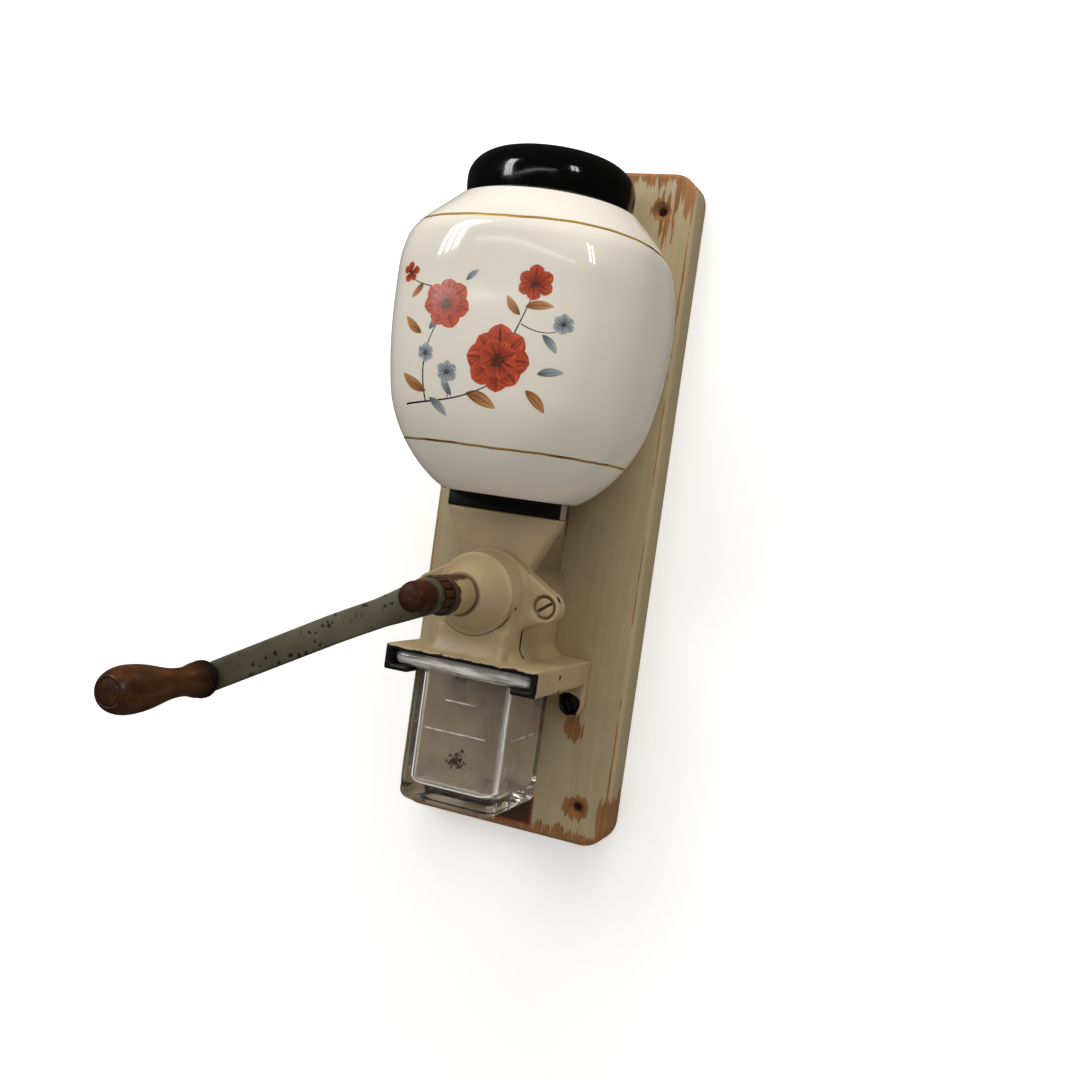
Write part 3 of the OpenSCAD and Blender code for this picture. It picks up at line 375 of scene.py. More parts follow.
# Dirt lies in the joint below the flange. Painted shade lies under the rim of the barrel's end, and the ear
# screws' slots are painted dark
joint_near = add("COMPARE", split.outputs[1], -67 * MM, 0.8 * MM)
joint_low = add("COMPARE", split.outputs[2], -70 * MM, 10 * MM)
joint = add("MULTIPLY", joint_near, joint_low)
# A thin ring of painted shade under the lip of the barrel's end, on its lower half only
rim_off = add("VectorMath", place, (0, -86.5 * MM, shaft_z * MM), operation="SUBTRACT")
rim_part = add("VectorMath", rim_off, (1, 0, 1), operation="MULTIPLY")
rim_far = add("VectorMath", rim_part, operation="LENGTH")
rim_ring = add("COMPARE", rim_far, 20.9 * MM, 0.28 * MM)
rim_low = add("MapRange", split.outputs[2], -0.05, -0.06, 0.0, 0.7)
rim_front = add("LESS_THAN", split.outputs[1], -83 * MM)
rim_shade = add("MULTIPLY", rim_ring, rim_low)
rim_shade = add("MULTIPLY", rim_shade, rim_front)
# The ear screws' slot floors are painted dark, at most three quarters of the way
ear_low, ear_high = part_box("housing_screws")
ear_off = add("VectorMath", mirrored, (ear_high.x - 4.7 * MM, -71 * MM, (ear_low.z + ear_high.z) / 2),
    operation="DISTANCE")
slot_in = add("LESS_THAN", ear_off, 4.3 * MM)
slot_deep = add("COMPARE", split.outputs[1], -70.9 * MM, 0.75 * MM)
slot_dark = add("MULTIPLY", slot_in, slot_deep)
slot_dark = add("MINIMUM", slot_dark, 0.75)
grime_and_shade = add("MAXIMUM", joint, rim_shade)
grime_and_shade = add("MAXIMUM", grime_and_shade, slot_dark)
# Painted shade darkens the sideways faces in the nooks between the funnel's sides, the flange and the board
facing = add("SeparateXYZ", add("TexCoord").outputs["Normal"])
sideways = add("ABSOLUTE", facing.outputs[0])
nook_shade_side = add("MapRange", sideways, 0.45, 0.8, 0.0, 0.6)
nook_shade_high = add("MapRange", split.outputs[2], -0.054, -0.036, 0.0, 1.0)
nook_shade_deep = add("MapRange", split.outputs[1], -0.061, -0.056, 0.0, 1.0)
nook_shade = add("MULTIPLY", nook_shade_side, nook_shade_high)
nook_shade = add("MULTIPLY", nook_shade, nook_shade_deep)
nose_rust = add("MapRange", split.outputs[1], -0.1032, -0.1043, 0.0, 0.8)
flecks = add("MapRange", bits, 0.7, 0.74, 0.0, 0.6)
colour = add("Mix", {0: mottle, 6: "#9c8762", 7: "#b6a17d"}, data_type="RGBA")
# Laid over the cream in turn: flecks, painted shade in the nooks, rust, dirt with painted shade, and chips with
# painted shade in the channel
for mask, laid_colour in (
        (flecks, "#7a5c36"), (nook_shade, "#51432a"), (nose_rust, "#4a2a14"), (grime_and_shade, "#1c130b"), (chipped, "#140d09")):
    colour = add("Mix", {0: mask, 6: colour, 7: laid_colour}, data_type="RGBA")
cast_depth = add("SUBTRACT", lumps, chipped)
close_material(add, colour, (mottle, 0.34, 0.52), (cast_depth, 0.18, 0.5))
# The foot of the funnel, the neck over the holder and the barrel's foot are the softest: each zone's low
# and high corner and feather in millimetres, and how often it is rubbed
link_piece("rear_casting", cast("rear_housing", 0.8, 8, 0.4, (
    ((-34, -66, -80), (34, -20, -20), 4, 30),)), cast_paint, "mill", "rear_housing")
link_piece("front_casting", cast("front_housing", 0.65, 8, 0.4, (
    ((-34, -91, -80.6), (34, -67.3, -67), 2.2, 150), ((-34, -85, -74), (34, -67.3, -52), 2.2, 80),
    ((12, -90, -76), (34, -67.3, -57), 2.2, 60), ((-34, -90, -76), (-12, -67.3, -57), 2.2, 60),
    ((-27, -84, -74), (27, -71, -26), 3, 40))),
    cast_paint, "mill", "front_housing")


# SCREWS
# Slotted screws, turned from steel: two painted over in the ears, two blackened in the lugs, two plain
# bolts through the board from behind, and two plain ones in the hopper's back.
def new_tree(name, sizes):
    """An empty geometry tree that takes a mesh and named sizes, with the function that adds nodes to it."""
    tree = bpy.data.node_groups.new(name, "GeometryNodeTree")
    tree.interface.new_socket("Geometry", in_out="INPUT", socket_type="NodeSocketGeometry")
    for size, kind in sizes.items():
        tree.interface.new_socket(size, in_out="INPUT", socket_type="NodeSocket" + kind)
    tree.interface.new_socket("Geometry", in_out="OUTPUT", socket_type="NodeSocketGeometry")
    add = partial(add_node, tree)
    return tree, add, add("NodeGroupInput").outputs


def close_tree(add, geometry, material):
    """Ends a geometry tree in real faces of one material."""
    real = add("GeometryNodeRealizeInstances", geometry)
    add("NodeGroupOutput", add("GeometryNodeSetMaterial", {0: real, "Material": material}))


def grown(name, tree, start, sizes):
    """The plain mesh that a geometry tree makes of a starting mesh."""
    maker = bpy.data.objects.new(name + " maker", start)
    scene.collection.objects.link(maker)
    modifier = maker.modifiers.new("tree", "NODES")
    modifier.node_group = tree
    for item in tree.interface.items_tree:
        if item.in_out == "INPUT" and item.name in sizes:
            value = sizes[item.name]
            modifier[item.identifier] = [float(v) for v in value] if isinstance(value, tuple) else value
    mesh = bpy.data.meshes.new_from_object(maker.evaluated_get(bpy.context.evaluated_depsgraph_get()))
    maker.modifiers.remove(modifier)
    bpy.data.objects.remove(maker)
    mesh.name = name
    return mesh


def marked(name, points, faces=(), edges=(), **marks):
    """A mesh of points in millimetres, with a number on each point for every mark."""
    mesh = bpy.data.meshes.new(name)
    mesh.from_pydata([tuple(np.array(p) * MM) for p in points], edges, faces)
    for mark, values in marks.items():
        mesh.attributes.new(mark, "FLOAT", "POINT").data.foreach_set("value", [float(v) for v in values])
    return mesh


def screw_pattern(shank_d, shank_len, head_d, head_h, slot_w, slot_depth):
    """One slotted screw along +Z: a head with two rounded lands, and a shank below."""
    edit = bmesh.new()
    floor = head_h - slot_depth
    for d, z0, z1 in ((shank_d, -shank_len, 0.2), (head_d, 0.0, floor)):
        bmesh.ops.create_cone(edit, cap_ends=True, segments=40, radius1=d / 2 * MM, radius2=d / 2 * MM,
                              depth=(z1 - z0) * MM, matrix=Matrix.Translation((0, 0, (z0 + z1) / 2 * MM)))
    gap = math.asin(slot_w / head_d)
    for half_turn in (0, math.pi):
        land = [edit.verts.new((head_d / 2 * math.cos(half_turn + a) * MM, head_d / 2 * math.sin(half_turn + a) * MM,
                                (floor - 0.1) * MM)) for a in np.linspace(gap, math.pi - gap, 20)]
        lifted = bmesh.ops.extrude_face_region(edit, geom=[edit.faces.new(land)])["geom"]
        top = [v for v in lifted if isinstance(v, bmesh.types.BMVert)]
        bmesh.ops.translate(edit, verts=top, vec=(0, 0, (slot_depth + 0.1) * MM))
        rim = [e for e in edit.edges if e.verts[0] in top and e.verts[1] in top]
        bmesh.ops.bevel(edit, geom=rim, offset=0.45 * MM, segments=3, profile=0.5, affect="EDGES", clamp_overlap=True)
    bmesh.ops.recalc_face_normals(edit, faces=edit.faces)
    mesh = bpy.data.meshes.new("screw")
    edit.to_mesh(mesh)
    edit.free()
    return smoothed(mesh, 35)


# Copies of one screw stand on the points of the starting mesh, each with its own slot turn
screw_tree, add, given = new_tree("row of screws", {"Screw": "Object", "Lean": "Vector", "Material": "Material"})
screw_shape = add("GeometryNodeObjectInfo", {"Object": given["Screw"]})
screw_row = add("GeometryNodeInstanceOnPoints", {"Points": given["Geometry"],
    "Instance": screw_shape.outputs["Geometry"], "Rotation": given["Lean"]})
screw_turn = add("GeometryNodeInputNamedAttribute", {"Name": "turn"}, data_type="FLOAT")
screw_spin = add("CombineXYZ", {2: screw_turn})
screw_set = add("GeometryNodeRotateInstances", {"Instances": screw_row, "Rotation": screw_spin,
    "Local Space": True})
close_tree(add, screw_set, given["Material"])


def mottled(name, patch, detail, dark, light, smooth, rough, metal, pitted=True):
    """A finish that one noise, of patches this many millimetres wide, varies in tone, roughness and height."""
    finish, add = new_material(name)
    place = add("TexCoord").outputs["Object"]
    noise = add("TexNoise", {"Vector": place, "Scale": 1 / (patch * MM), "Detail": detail})
    tone = add("Mix", {0: noise, 6: dark, 7: light}, data_type="RGBA")
    close_material(add, tone, (noise, smooth, rough), (noise, 0.2, 0.2) if pitted else None, {"Metallic": metal})
    return finish


# Blackened steel: dark oxide, dull, with brown patches.
black_steel = mottled("blackened steel", 3.3, 5.0, "#0d0a08", "#2a1b11", 0.45, 0.65, 0.4)
# Plain steel: turned bright, a little dulled.
plain_steel = mottled("plain turned steel", 2, 3.0, "#7c7a76", "#a5a29c", 0.28, 0.5, 1.0, pitted=False)
to_user, to_wall = math.radians(90), math.radians(-90)
head_h, slot_w, slot_depth = 3.0, 1.4, 1.4
for name, node, shank_d, head_d, under, lean, turns, finish in (
        ("ear_screws", "housing_screws", 5.0, 9.4, -69.0, to_user, (1.1, 0.62), cast_paint),
        ("lug_wood_screws", "lug_screws", 4.0, 8.0, -20.0, to_user, (0.3, 2.0), black_steel),
        ("board_bolts", "spine_bolts", 5.0, 10.0, -4.0, to_wall, (0.2, 1.4), plain_steel),
        ("hopper_wood_screws", "hopper_screws", 4.0, 8.0, -24.0, to_user, (0.8, 0.1), plain_steel)):
    low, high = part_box(node)
    wide, tall, deep = (high.x - low.x) / MM - head_d, (high.z - low.z) / MM - head_d, (high.y - low.y) / MM
    middle_z = (low.z + high.z) / 2 / MM
    stands = [(end * wide / 2, under, middle_z + end * tall / 2) for end in (-1, 1)]
    pattern = bpy.data.objects.new("screw", screw_pattern(shank_d, deep - head_h, head_d, head_h, slot_w, slot_depth))
    scene.collection.objects.link(pattern)
    screws_mesh = grown(name, screw_tree, marked("stands", stands, turn=turns), {
        "Screw": pattern, "Lean": (lean, 0, 0), "Material": finish})
    bpy.data.objects.remove(pattern)
    link_piece(name, screws_mesh, finish, "mill", node)


# INNER PIECES
# A fixed ring and a turning cone of chilled iron grind the beans, with a pin, a coil spring and a brass bush
# behind the cone. Fibre washers lie under the hopper's screws. All of them keep their machined shape.
for name, members, dark, light, metal, rough in (
        # Chilled iron: dark grey, coarse, oily from coffee.
        ("chilled iron", ("outer_burr", "inner_burr"), "#2d2a27", "#56514b", 0.8, 0.45),
        # Hardened steel: bright and smooth.
        ("hardened steel", ("burr_pin",), "#6d6b68", "#8e8b86", 1.0, 0.3),
        # Spring steel: grey wire with a drawn, oiled skin.
        ("spring steel", ("thrust_spring",), "#55524d", "#7c7872", 1.0, 0.35),
        # Cast brass: dull yellow.
        ("cast brass", ("rear_bush",), "#8a6a2e", "#b08d45", 1.0, 0.35),
        # Vulcanised fibre: brick red and matt.
        ("vulcanised fibre", ("hopper_washers",), "#5c2716", "#7d3a22", 0.0, 0.7)):
    finish = mottled(name, 2.5, 4.0, dark, light, rough - 0.1, rough + 0.1, metal)
    for member in members:
        for slot in nodes[member].material_slots:
            slot.material = finish


# SHAFT, SLEEVE AND SETTING NUT
# The steel shaft runs in a steel sleeve pressed into the nose. A notched nut on it sets the grind, with a
# washer before the arm. The sleeve was painted with the castings and has rusted through at both ends.
# Rusty steel: dark brown oxide over worn steel, rough, lighter on the corners.
rusty_steel, add = new_material("rusty steel")
place = add("TexCoord").outputs["Object"]
rust = add("TexNoise", {"Vector": place, "Scale": 1 / (3.6 * MM), "Detail": 6.0})
rust_tone = add("Mix", {0: rust, 6: "#1a0b04", 7: "#4d240a"}, data_type="RGBA")
rust_edge = add("NewGeometry")
rust_worn = add("MapRange", rust_edge.outputs["Pointiness"], 0.53, 0.62, 0.0, 0.45)
rust_colour = add("Mix", {0: rust_worn, 6: rust_tone, 7: "#6e5440"}, data_type="RGBA")
close_material(add, rust_colour, (rust, 0.4, 0.65), (rust, 0.35, 0.3), {"Specular IOR Level": 0.25})
link_piece("shaft", softened("drive_shaft", 1.0, 3), rusty_steel, "crank", "drive_shaft")
link_piece("setting_nut", softened("adjusting_nut", 0.3, 2), rusty_steel, "adjuster", "adjusting_nut")
link_piece("arm_washer", softened("crank_washer", 0.3, 2), black_steel, "crank", "crank_washer")
# Oil paint on a rusty sleeve: ochre cream with brown where the rust has come through.
sleeve_paint, add = new_material("oil paint on a rusty sleeve")
place = add("TexCoord").outputs["Object"]
split = add("SeparateXYZ", place)
rust = add("TexNoise", {"Vector": place, "Scale": 1 / (5.3 * MM), "Detail": 5.0})
wear = 0.0
for axis, start, full, depth in ((1, -119.5, -124.5, 0.5), (1, -106.8, -105.0, 0.45), (2, -43.0, -40.2, 0.4)):
    edge = add("MapRange", split.outputs[axis], start * MM, full * MM, 0.0, depth)
    wear = add("MAXIMUM", edge, wear)
sleeve_bare = add("ADD", wear, rust)
sleeve_rust = add("MapRange", sleeve_bare, 0.64, 0.8, 0.0, 0.95)
sleeve_tone = add("Mix", {0: rust, 6: "#87704a", 7: "#b09a70"}, data_type="RGBA")
sleeve_colour = add("Mix", {0: sleeve_rust, 6: sleeve_tone, 7: "#3a1c0c"}, data_type="RGBA")
close_material(add, sleeve_colour, (sleeve_rust, 0.4, 0.6), (rust, 0.25, 0.3))
link_piece("painted_sleeve", softened("bearing_sleeve", 0.8, 3), sleeve_paint, "mill", "bearing_sleeve")


# CRANK
# A flat bar of steel, forged with a gentle step and held on the shaft's square by a rusty nut. The handle's
# pin is riveted into its far end.
# Dull forged steel: grey green with a dark skin, browner at the hub, pitted with near black specks.
dull_steel, add = new_material("dull forged steel")
place = add("TexCoord").outputs["Object"]
split = add("SeparateXYZ", place)
skin = add("TexNoise", {"Vector": place, "Scale": 1 / (17 * MM), "Detail": 6.0})
ragged = add("TexNoise", {"Vector": place, "Scale": 1 / (2.2 * MM), "Detail": 3.0})
pits_at = add("VectorMath", ragged.outputs["Color"], (3 * MM, 3 * MM, 3 * MM), place, operation="MULTIPLY_ADD")
pits = add("TexVoronoi", {"Vector": pits_at, "Scale": 1 / (3.4 * MM)})
pit_r = add("MapRange", pits.outputs["Color"], 0.3, 0.7, 0.02, 0.36)
pit_in = add("SUBTRACT", pit_r, pits.outputs["Distance"])
pit_spot = add("MapRange", pit_in, 0.0, 0.09, 0.0, 0.9)
arm_off = add("VectorMath", place, (0, 0, shaft_z * MM), operation="SUBTRACT")
arm_flat = add("VectorMath", arm_off, (1, 0, 1), operation="MULTIPLY")
along = add("VectorMath", arm_flat, operation="LENGTH")
pit_zone = add("MapRange", along, 0.104, 0.094, 0.0, 1.0)
pit = add("MULTIPLY", pit_spot, pit_zone)
skin_tone = add("Mix", {0: skin, 6: "#474332", 7: "#77715b"}, data_type="RGBA")
hub_rust = add("MapRange", split.outputs[0], -0.02, -0.008, 0.0, 0.35)
arm_brown = add("Mix", {0: hub_rust, 6: skin_tone, 7: "#4a351f"}, data_type="RGBA")
arm_colour = add("Mix", {0: pit, 6: arm_brown, 7: "#1a130b"}, data_type="RGBA")
arm_bump = add("Bump", {"Strength": 0.2, "Distance": 0.3 * MM, "Height": pit}, invert=True)
close_material(add, arm_colour, (skin, 0.4, 0.6), more={"Metallic": 0.45, "Normal": arm_bump})
link_piece("forged_arm", softened("crank_arm", 0.7, 3), dull_steel, "crank", "crank_arm")


def tidied(mesh, sharp):
    """Closes a made mesh's seams and poles, turns its faces outwards and shades it."""
    edit = bmesh.new()
    edit.from_mesh(mesh)
    bmesh.ops.remove_doubles(edit, verts=edit.verts, dist=0.003 * MM)
    bmesh.ops.recalc_face_normals(edit, faces=edit.faces)
    edit.to_mesh(mesh)
    edit.free()
    return smoothed(mesh, sharp)


# Turned pieces: one ring round the axis for each point of a half profile
lathe_tree, add, given = new_tree("lathe", {
    "Points round": "Int", "Rows": "Int", "Place": "Vector", "Lean": "Vector", "Material": "Material"})
lathe_at = add("GeometryNodeInputPosition")
lathe_unit = add("SeparateXYZ", lathe_at)
lathe_steps = add("SUBTRACT", given["Rows"], 1.0)
lathe_tube = add("GeometryNodeMeshCylinder", {"Vertices": given["Points round"],
    "Side Segments": lathe_steps, "Radius": 1.0, "Depth": 1.0}, fill_type="NONE")
lathe_part = add("ADD", lathe_unit.outputs[2], 0.5)
lathe_spot = add("MULTIPLY_ADD", lathe_part, lathe_steps, 0.25)
lathe_row = add("FLOOR", lathe_spot)
lathe_cut = add("GeometryNodeSampleIndex", {"Geometry": given["Geometry"], "Value": lathe_at,
    "Index": lathe_row}, data_type="FLOAT_VECTOR", clamp=True)
lathe_half = add("SeparateXYZ", lathe_cut)
lathe_x = add("MULTIPLY", lathe_unit.outputs[0], lathe_half.outputs[0])
lathe_y = add("MULTIPLY", lathe_unit.outputs[1], lathe_half.outputs[0])
lathe_to = add("CombineXYZ", lathe_x, lathe_y, lathe_half.outputs[2])
lathe_set = add("GeometryNodeSetPosition", {"Geometry": lathe_tube, "Position": lathe_to})
lathe_put = add("GeometryNodeTransform", {"Geometry": lathe_set, "Translation": given["Place"],
    "Rotation": given["Lean"]})
close_tree(add, lathe_put, given["Material"])


def turned_piece(name, profile, axis_at, lean, finish, count):
    """A turned mesh from a closed half profile of radii and heights, in millimetres."""
    rows = [(r, 0, z) for r, z in profile] + [(profile[0][0], 0, profile[0][1])]
    return tidied(grown(name, lathe_tree, marked(name + " profile", rows), {
        "Points round": count, "Rows": len(rows), "Place": tuple(np.array(axis_at) * MM),
        "Lean": (lean, 0, 0), "Material": finish}), 35)


# The nut is worn round and closed over the end of the stud
nut_back, nut_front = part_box("crank_nut")[1].y / MM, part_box("crank_nut")[0].y / MM
stud_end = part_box("drive_shaft")[0].y / MM
nut_r, nut_h, nut_crown = 7.3, nut_back - nut_front, nut_back - stud_end + 0.5
nut_profile = [(2.5, 0), (nut_r - 0.9, 0), (nut_r - 0.2, 0.4), (nut_r, 1.3), (nut_r, nut_h - 2.4)] + [
    (nut_r * math.cos(t) ** 0.6, nut_h - 2.4 + (nut_crown - nut_h + 2.4) * math.sin(t) ** 0.6)
    for t in np.radians(np.linspace(6, 89.9, 14))] + [(0.001, nut_crown - 0.1), (0.001, 0.5), (2.5, 0.5)]
nut_mesh = turned_piece("nut", nut_profile, (0, nut_back, shaft_z), math.pi / 2, rusty_steel, 64)
link_piece("arm_nut", nut_mesh, rusty_steel, "crank", "crank_nut")


# HANDLE
# A grip turned from beech, stained brown and varnished, with a blackened iron ring at the arm and a round
# plug that closes the bore at its end. It turns loose on a steel pin riveted to the arm.
def bezier(p, t):
    """Points on a curve that leaves p[0] towards p[1] and comes to p[3] from p[2]."""
    t = np.asarray(t)[:, None]
    return (1 - t) ** 3 * p[0] + 3 * (1 - t) ** 2 * t * p[1] + 3 * (1 - t) * t ** 2 * p[2] + t ** 3 * p[3]


crank_r, crank_tilt = 122.5, math.radians(28.25)
handle_x, handle_z = -crank_r * math.cos(crank_tilt), shaft_z - crank_r * math.sin(crank_tilt)
grip_low, grip_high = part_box("handle_grip")
grip_len = (grip_high.y - grip_low.y) / MM
flare, waist, belly, plug_r, spindle_r = 8.9, 6.9, 11.2, 6.2, 3.05
waist_at, belly_at = 0.232 * grip_len, 0.81 * grip_len
tip_len = grip_len - belly_at
grip_curve = np.vstack([
    bezier(np.array([(flare, 0), (flare, 0.4 * waist_at), (waist, 0.5 * waist_at), (waist, waist_at)]),
           np.linspace(0, 1, 18)),
    bezier(np.array([(waist, waist_at), (waist, waist_at + 0.4 * (belly_at - waist_at)),
                     (belly, belly_at - 0.45 * (belly_at - waist_at)), (belly, belly_at)]),
           np.linspace(0, 1, 30)[1:]),
    bezier(np.array([(belly, belly_at), (belly, belly_at + 0.6 * tip_len), (plug_r + 2.0, grip_len),
                     (plug_r + 1.0, grip_len)]), np.linspace(0, 1, 18)[1:])])
grip_profile = [(spindle_r, 0)] + [tuple(p) for p in grip_curve] + [
    (plug_r + 0.12, grip_len - 0.3), (plug_r + 0.12, grip_len - 5.5), (spindle_r, grip_len - 5.5)]
# Stained beech: brown varnish over long fine grain, nearly black in the flare and at the tip from handling.
stained_wood, add = new_material("stained and varnished beech")
place = add("TexCoord").outputs["Object"]
split = add("SeparateXYZ", place)
grain_at = add("Mapping", {0: place, "Scale": (1 / (2.4 * MM), 1 / (38 * MM), 1 / (2.4 * MM))})
grain = add("TexNoise", {"Vector": grain_at, "Scale": 1.0, "Detail": 5.0, "Distortion": 0.6})
cloud_at = add("Mapping", {0: place, "Scale": (1 / (11 * MM), 1 / (26 * MM), 1 / (11 * MM))})
cloud = add("TexNoise", {"Vector": cloud_at, "Scale": 1.0, "Detail": 3.0})
grain_tone = add("Mix", {0: grain, 6: "#2c1405", 7: "#7c4a20"}, data_type="RGBA")
cloud_mask = add("MapRange", cloud, 0.38, 0.62, 0.75, 0.0)
wood_dark = add("Mix", {0: cloud_mask, 6: grain_tone, 7: "#281305"}, data_type="RGBA")
flare_dark = add("MapRange", split.outputs[1], -0.164, -0.154, 0.0, 0.9)
tip_dark = add("MapRange", split.outputs[1], -0.204, -0.216, 0.0, 0.55)
end_dark = add("MAXIMUM", flare_dark, tip_dark)
wood_colour = add("Mix", {0: end_dark, 6: wood_dark, 7: "#180c04"}, data_type="RGBA")
close_material(add, wood_colour, (grain, 0.32, 0.48), (grain, 0.12, 0.3),
    {"Specular IOR Level": 0.3, "Coat Weight": 0.15, "Coat Roughness": 0.2})
link_piece("turned_grip", turned_piece(
    "grip", grip_profile, (handle_x, grip_high.y / MM, handle_z), to_user, stained_wood, 72),
    stained_wood, "grip", "handle_grip")
plug_low, plug_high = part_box("handle_plug")
plug_len = (plug_high.y - plug_low.y) / MM
plug_profile = [(0.001, 0), (plug_r, 0), (plug_r, plug_len - 1.0), (plug_r - 0.5, plug_len - 0.45),
                (plug_r * 0.6, plug_len - 0.1), (0.001, plug_len)]
link_piece("grip_plug", turned_piece(
    "plug", plug_profile, (handle_x, plug_high.y / MM, handle_z), to_user, stained_wood, 48),
    stained_wood, "grip", "handle_plug")
ring_low, ring_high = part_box("handle_ferrule")
ring_len, ring_r = (ring_high.y - ring_low.y) / MM, flare + 0.35
ring_profile = [(spindle_r, 0), (flare - 1.4, 0)] + [
    (ring_r - 1.8 * (1 - math.sin(t)), ring_len * 0.5 * (1 - math.cos(t)))
    for t in np.linspace(0.2, math.pi / 2, 8)] + [
    (ring_r, ring_len - 0.6), (ring_r - 0.3, ring_len), (spindle_r, ring_len)]
link_piece("grip_ring", turned_piece(
    "ring", ring_profile, (handle_x, ring_high.y / MM, handle_z), to_user, black_steel, 72),
    black_steel, "grip", "handle_ferrule")
link_piece("riveted_pin", softened("handle_spindle", 0.5, 2), black_steel, "crank", "handle_spindle")


# GASKET
# A block of black rubber between the jar and the funnel, cut to the funnel's outline, with the bean hole in
# it. Cream paint has run onto its ends.
# Moulded rubber: dead black, dull, with a little dust.
rubber, add = new_material("black moulded rubber")
place = add("TexCoord").outputs["Object"]
split = add("SeparateXYZ", place)
side_x = add("ABSOLUTE", split.outputs[0])
dust = add("TexNoise", {"Vector": place, "Scale": 1 / (8 * MM), "Detail": 5.0})
end_paint = add("MapRange", side_x, 0.0314, 0.0318, 0.0, 0.8)
rubber_tone = add("Mix", {0: dust, 6: "#040404", 7: "#0e0d0c"}, data_type="RGBA")
rubber_colour = add("Mix", {0: end_paint, 6: rubber_tone, 7: "#9a8d79"}, data_type="RGBA")
close_material(add, rubber_colour, (dust, 0.4, 0.62), (dust, 0.15, 0.3), {"Specular IOR Level": 0.3})
link_piece("gasket", softened("hopper_gasket", 0.8, 3), rubber, "mill", "hopper_gasket")


# HOPPER
# A slip cast jar of earthenware under ivory glaze, barrelled and nearly square in plan, with a flat back
# for the board, a round mouth on top and a bean outlet in its base.
hopper_low, hopper_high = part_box("hopper")
base_z = hopper_low.z / MM
hopper_h = (hopper_high.z - hopper_low.z) / MM
hopper_w, base_w, rim_d = 130.0, 64.0, 92.0
belly_h, crown_h, hip_h, barrel_r = 92.0, 122.0, 46.0, 252.0
base_out, belly_out, rim_out = 42.0, 39.0, 44.0
hopper_wall, mouth_d, outlet_d, outlet_out = 5.0, 62.0, 28.0, 27.0
crown_pull, rim_pull, hip_pull, base_pull = 8.0, np.array((8.0, -7.5)), 18.0, np.array((16.0, 9.5))


def barrel(h):
    """The jar's half width on its barrelled side."""
    return hopper_w / 2 - (h - belly_h) ** 2 / (2 * barrel_r)


hip, crown = np.array((barrel(hip_h), hip_h)), np.array((barrel(crown_h), crown_h))
base_edge, rim_edge = np.array((base_w / 2, 0.0)), np.array((rim_d / 2, hopper_h))
hip_slope, crown_slope = (hip_h - belly_h) / barrel_r, (crown_h - belly_h) / barrel_r
side_h = np.linspace(hip_h, crown_h, 26)[1:-1]
outer_curve = np.vstack([
    bezier((base_edge, base_edge + base_pull, hip + hip_pull * np.array((hip_slope, -1)), hip),
           np.linspace(0, 1, 28)),
    np.column_stack([barrel(side_h), side_h]),
    bezier((crown, crown + crown_pull * np.array((-crown_slope, 1)), rim_edge + rim_pull, rim_edge),
           np.linspace(0, 1, 28))])
# Each row of the jar: half width, how far its back stays off the board, height, shift of its middle, roundness
outlet_shift = outlet_out - base_out
jar_rows = ([(w, 0, h, 0, 0) for w, h in outer_curve]
            + [(mouth_d / 2, 0, hopper_h, 0, 1), (mouth_d / 2, 0, hopper_h - hopper_wall, 0, 1)]
            + [(w - hopper_wall, hopper_wall, h, 0, 0) for w, h in outer_curve[::-1]
               if hopper_wall < h < hopper_h - hopper_wall]
            + [(outlet_d / 2, 0, hopper_wall, outlet_shift, 1), (outlet_d / 2, 0, 0, outlet_shift, 1)])
jar_rows = np.array(jar_rows + [jar_rows[0]])

# The jar's tree bends each row into a rounded square that grows round towards the mouth, cut flat at the back
jar_tree, add, given = new_tree("jar", {
    "Points round": "Int", "Rows": "Int", "Squareness": "Float", "Base squareness": "Float", "Height": "Float",
    "Hip height": "Float", "Belly height": "Float", "Round from": "Float", "Base out": "Float", "Belly out": "Float",
    "Rim out": "Float", "Least chord": "Float", "Place": "Vector", "Material": "Material"})
worth = {socket.name: socket for socket in given}
jar_at = add("GeometryNodeInputPosition")
jar_unit = add("SeparateXYZ", jar_at)
worth.update({"unit x": jar_unit.outputs[0], "unit y": jar_unit.outputs[1], "unit z": jar_unit.outputs[2]})
for name, operation, *terms in (
        ("steps", "SUBTRACT", "Rows", 1.0), ("part", "ADD", "unit z", 0.5),
        ("spot", "MULTIPLY_ADD", "part", "steps", 0.25), ("row", "FLOOR", "spot"),
        ("bearing", "ARCTAN2", "unit y", "unit x"), ("per turn", "DIVIDE", "Points round", 2 * math.pi),
        ("share", "MULTIPLY", "bearing", "per turn"), ("nearest", "ROUND", "share"),
        ("number", "FLOORED_MODULO", "nearest", "Points round"), ("last", "SUBTRACT", "Points round", 1.0),
        ("fraction", "DIVIDE", "number", "last"), ("swing", "MULTIPLY_ADD", "fraction", 2.0, -1.0)):
    worth[name] = add(operation, {i: worth[term] if isinstance(term, str) else term for i,
        term in enumerate(terms)})
jar_tube = add("GeometryNodeMeshCylinder", {"Vertices": given["Points round"],
    "Side Segments": worth["steps"], "Radius": 1.0, "Depth": 1.0}, fill_type="NONE")
jar_cut = add("GeometryNodeSampleIndex", {"Geometry": given["Geometry"], "Value": jar_at,
    "Index": worth["row"]}, data_type="FLOAT_VECTOR", clamp=True)
jar_size = add("SeparateXYZ", jar_cut)
worth.update({"half": jar_size.outputs[0], "back": jar_size.outputs[1], "height": jar_size.outputs[2]})
for name in ("shift", "bore"):
    mark = add("GeometryNodeInputNamedAttribute", {"Name": name}, data_type="FLOAT")
    worth[name] = add("GeometryNodeSampleIndex", {"Geometry": given["Geometry"], "Value": mark,
        "Index": worth["row"]}, data_type="FLOAT", clamp=True)
